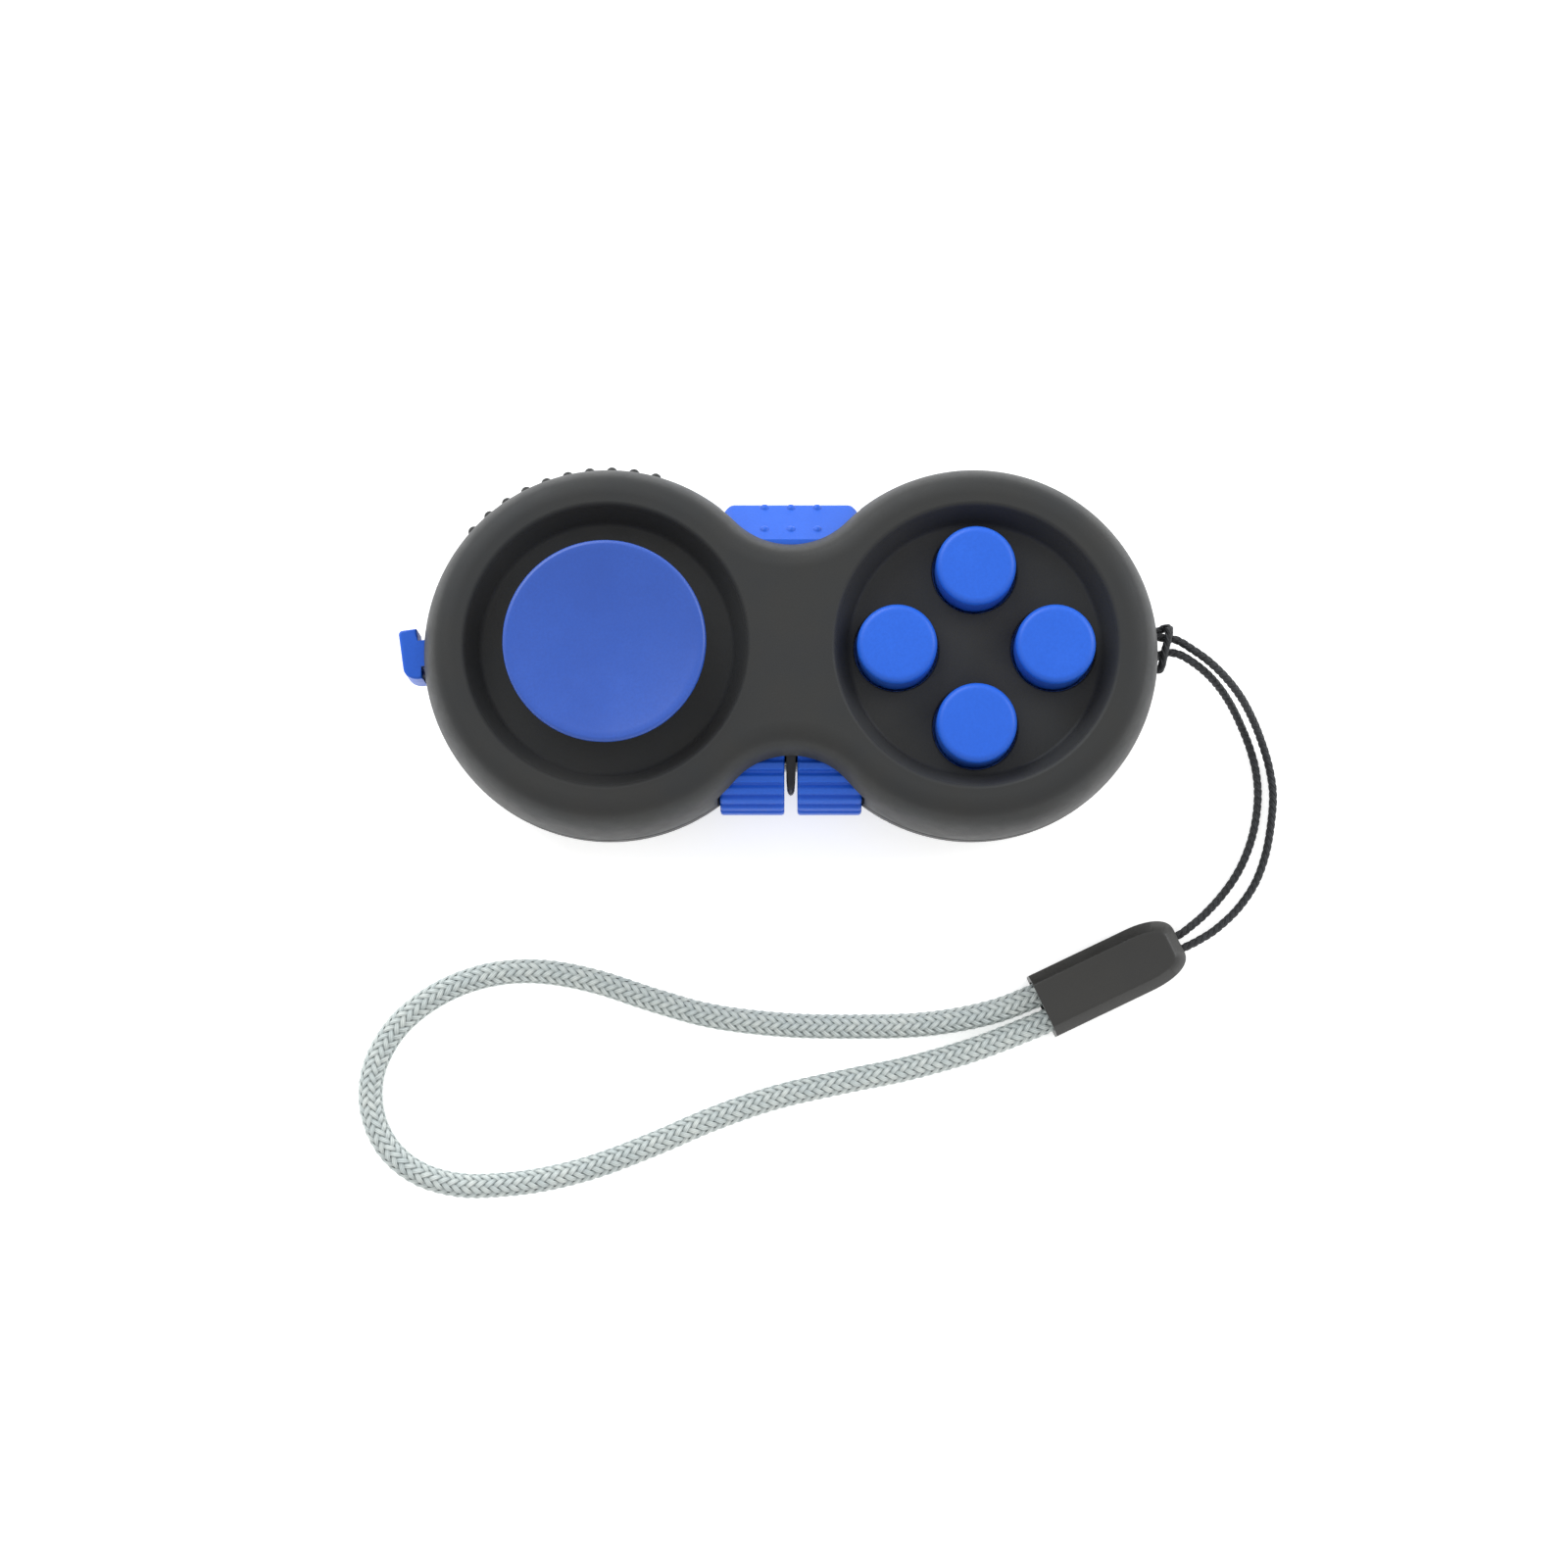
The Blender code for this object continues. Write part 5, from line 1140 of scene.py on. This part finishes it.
def make_rocker():
    """Dotted rocker: sloping faces, chamfered ends and a bored hub."""
    flat = ROCKER_BACK + ROCKER_FLAT
    tall = ROCKER_HALF_HEIGHT
    section = [
        (ROCKER_BACK, -tall), (flat, -tall), (ROCKER_REACH, -ROCKER_NOSE),
        (ROCKER_REACH, ROCKER_NOSE), (flat, tall), (ROCKER_BACK, tall),
    ]
    end = ROCKER_HALF_LENGTH
    inner = end - ROCKER_CHAMFER
    nose = ROCKER_REACH - ROCKER_CHAMFER
    ends = ((-end, nose), (-inner, ROCKER_REACH), (inner, ROCKER_REACH), (end, nose))
    shape = lofted([[(x, min(y, reach), SEAM + z) for y, z in section] for x, reach in ends])
    outer = [edge for edge in shape.edges if all(vert.co.y > ROCKER_BACK + 0.3 for vert in edge.verts)]
    round_edges(shape, outer, ROCKER_ROUND)
    pad = temporary("rocker_pad", shape)
    half, hub = ROCKER_HUB
    carve(pad, "UNION", block((-half, ROCKER_PIN_Y - hub, SEAM - hub), (half, flat, SEAM + hub), 0.3))
    carve(pad, "DIFFERENCE", rod(PIN_BORE, (-8, ROCKER_PIN_Y, SEAM), (8, ROCKER_PIN_Y, SEAM), 32))
    append(pad, rocker_dots())
    finish(pad, "rocker_pad", "rocker", "blue", "rocker")


make_rocker()


# Rollers

RIBS = 24
RIB_DEPTH = 0.45
ROLLER_ROUND = 0.35
ROLLER_ROUND_STEPS = 6
RIB_STATIONS = (         # place along one rib and its groove, and share of the groove's depth
    (0.00, 1.0), (0.10, 1.0), (0.17, 0.93), (0.22, 0.75), (0.30, 0.25), (0.36, 0.04), (0.42, 0.0),
    (0.55, 0.0), (0.70, 0.0), (0.78, 0.0), (0.84, 0.04), (0.89, 0.25), (0.94, 0.75), (0.98, 0.93),
)


def roller_ring(x, shrink):
    """One ribbed section: broad rounded ribs with narrow grooves between them."""
    crest = ROLLER_RADIUS - shrink
    points = []
    for rib in range(RIBS):
        for share, depth in RIB_STATIONS:
            angle = math.tau * (rib + share) / RIBS
            radius = crest - RIB_DEPTH * depth
            points.append((x, AXLE_Y + radius * math.cos(angle), SEAM + radius * math.sin(angle)))
    return points


def make_rollers():
    """Two ribbed rollers with rounded ends and an axle bore."""
    for name, side in (("roller_left", -1), ("roller_right", 1)):
        rings = []
        for end, inward in ((ROLLER_START, 1), (ROLLER_END, -1)):
            for step in range(ROLLER_ROUND_STEPS + 1)[::inward]:
                angle = math.pi / 2 * step / ROLLER_ROUND_STEPS
                x = side * (end + inward * ROLLER_ROUND * (1 - math.cos(angle)))
                rings.append(roller_ring(x, ROLLER_ROUND * (1 - math.sin(angle))))
        wheel = temporary(name, lofted(rings))
        start = (side * (ROLLER_START - 0.3), AXLE_Y, SEAM)
        carve(wheel, "DIFFERENCE", rod(AXLE_BORE, start, (side * (ROLLER_END + 2), AXLE_Y, SEAM), 40))
        finish(wheel, f"{name}_wheel", name, "blue", name, sharp=40)


make_rollers()


# Flip lever

LEVER_INNER = -4.35      # where the head meets the neck
LEVER_TILT = math.radians(8)
LEVER_HALF_HEIGHT = 3.4


def lever_outline():
    """The lever seen from above, tip towards -X, round its pin."""
    head = 2.1
    wide = 2.95
    neck = 1.5
    hub = 2.0
    fillet = 0.45
    tip = LEVER_INNER - head
    rise = head * 0.7
    points = [(LEVER_INNER, wide)] + corner((tip + fillet, wide - fillet), fillet, 90, 180, 4)
    for step in range(8):
        angle = math.pi / 2 * step / 8
        points.append((LEVER_INNER - head * math.cos(angle) ** 0.8, -wide + rise - rise * math.sin(angle)))
    points += [(LEVER_INNER, -wide), (LEVER_INNER, -neck), (-hub * 0.6, -neck), (0, -hub), (hub, -hub * 0.55)]
    points += [(hub / math.cos(LEVER_TILT), 0), (hub, hub * 0.55), (0, hub), (-hub * 0.6, neck)]
    return points + [(LEVER_INNER, neck)]


def make_lever():
    """Flip lever: hooked head, neck and bored hub, with softened edges."""
    shape = bmesh.new()
    face = shape.faces.new([shape.verts.new((x, y, -LEVER_HALF_HEIGHT)) for x, y in lever_outline()])
    raised = bmesh.ops.extrude_face_region(shape, geom=[face])
    lifted = [item for item in raised["geom"] if isinstance(item, bmesh.types.BMVert)]
    bmesh.ops.translate(shape, verts=lifted, vec=(0, 0, 2 * LEVER_HALF_HEIGHT))
    rims = [edge for edge in shape.edges if abs(edge.verts[0].co.z - edge.verts[1].co.z) < 1e-4]
    rims = [edge for edge in rims if all(vert.co.x < LEVER_INNER + 0.1 for vert in edge.verts)]
    round_edges(shape, rims, 0.3)
    place = Matrix.Translation((FLIP_PIN.x, FLIP_PIN.y, SEAM)) @ Matrix.Rotation(LEVER_TILT, 4, "Z")
    bmesh.ops.transform(shape, matrix=place, verts=shape.verts)
    lever = temporary("lever", shape)
    carve(lever, "DIFFERENCE", upright(PIN_BORE, FLIP_PIN, 0, TOP, 32))
    finish(lever, "flip_lever_tip", "flip_lever", "blue", "flip_lever", sharp=40)


make_lever()


# Dial on the back

DIAL_TOP = 2.1
DIAL_EDGE = 0.4
DIAL_HUB_RADIUS = 3.0
DIAL_BEVEL = 0.15
DIMPLE_PLACE = 6.8
DIMPLE_RADIUS = 3.8
DIMPLE_DEPTH = 1.0


def make_dial():
    """Spin dial with a finger dimple and a shallow ring groove near its edge."""
    low, high = node_box("spin_dial")
    bottom = low.z
    inner = DIAL_RADIUS - DIAL_EDGE
    profile = [(0, high.z), (DIAL_HUB_RADIUS - DIAL_BEVEL, high.z), (DIAL_HUB_RADIUS, high.z - DIAL_BEVEL)]
    profile += [(DIAL_HUB_RADIUS, DIAL_TOP), (inner, DIAL_TOP)]
    profile += corner((inner, DIAL_TOP - DIAL_EDGE), DIAL_EDGE, 90, 0, 5)
    profile += corner((inner, bottom + DIAL_EDGE), DIAL_EDGE, 0, -90, 6)
    for inset, depth in ((1.6, 0), (1.75, DIAL_BEVEL), (2.05, DIAL_BEVEL), (2.2, 0)):
        profile.append((DIAL_RADIUS - inset, bottom + depth))
    profile.append((0, bottom))
    disc = temporary("dial", turned(profile, LEFT, 192))
    ball = (DIMPLE_RADIUS ** 2 + DIMPLE_DEPTH ** 2) / (2 * DIMPLE_DEPTH)
    dimple = bmesh.new()
    place = Matrix.Translation(LEFT + Vector((DIMPLE_PLACE, 0, bottom + DIMPLE_DEPTH - ball)))
    bmesh.ops.create_uvsphere(dimple, u_segments=96, v_segments=96, radius=ball, matrix=place)
    carve(disc, "DIFFERENCE", dimple, upright(SCREW_BORE, LEFT, 1.1, SEAM, 32))
    finish(disc, "dial_disc", "dial", "blue", "spin_dial")


make_dial()


# Floor and light

FLOOR_GAP = 0.04


def make_stage():
    """A plain pale floor."""
    shape = bmesh.new()
    bmesh.ops.create_grid(shape, x_segments=1, y_segments=1, size=3000)
    bmesh.ops.translate(shape, verts=shape.verts, vec=(0, 0, -FLOOR_GAP))
    floor = temporary("floor", shape)
    floor.data.transform(Matrix.Scale(MM, 4))
    made = bpy.data.materials.new("floor")
    made.use_nodes = True
    shader = made.node_tree.nodes["Principled BSDF"]
    put(shader, {"Base Color": (0.93, 0.93, 0.925, 1.0), "Roughness": 0.9, "Specular IOR Level": 0.15})
    put(shader, {"Emission Color": (1.0, 1.0, 0.995, 1.0), "Emission Strength": 0.50})
    floor.data.materials.append(made)


def area_light(name, place, size, power, colour):
    """A soft rectangular light that faces the middle of the floor."""
    data = bpy.data.lights.new(name, "AREA")
    data.shape = "RECTANGLE"
    data.size, data.size_y = size
    data.energy = power
    data.color = colour
    lamp = placed(name, data)
    lamp.location = place
    lamp.rotation_euler = (-Vector(place)).to_track_quat("-Z", "Y").to_euler()


def make_light():
    """Bright even surroundings with a broad soft light from the upper left."""
    world = bpy.data.worlds.new("studio")
    world.use_nodes = True
    back = world.node_tree.nodes["Background"]
    put(back, {"Color": (1.0, 1.0, 1.0, 1.0), "Strength": 0.84})
    bpy.context.scene.world = world
    area_light("window", (-0.55, 0.85, 0.60), (1.0, 0.8), 9.5, (0.93, 0.97, 1.0))
    area_light("fill", (0.85, 0.35, 0.50), (0.6, 0.6), 4.0, (0.94, 0.97, 1.0))
    bpy.context.scene.view_settings.view_transform = "Standard"


make_stage()
make_light()
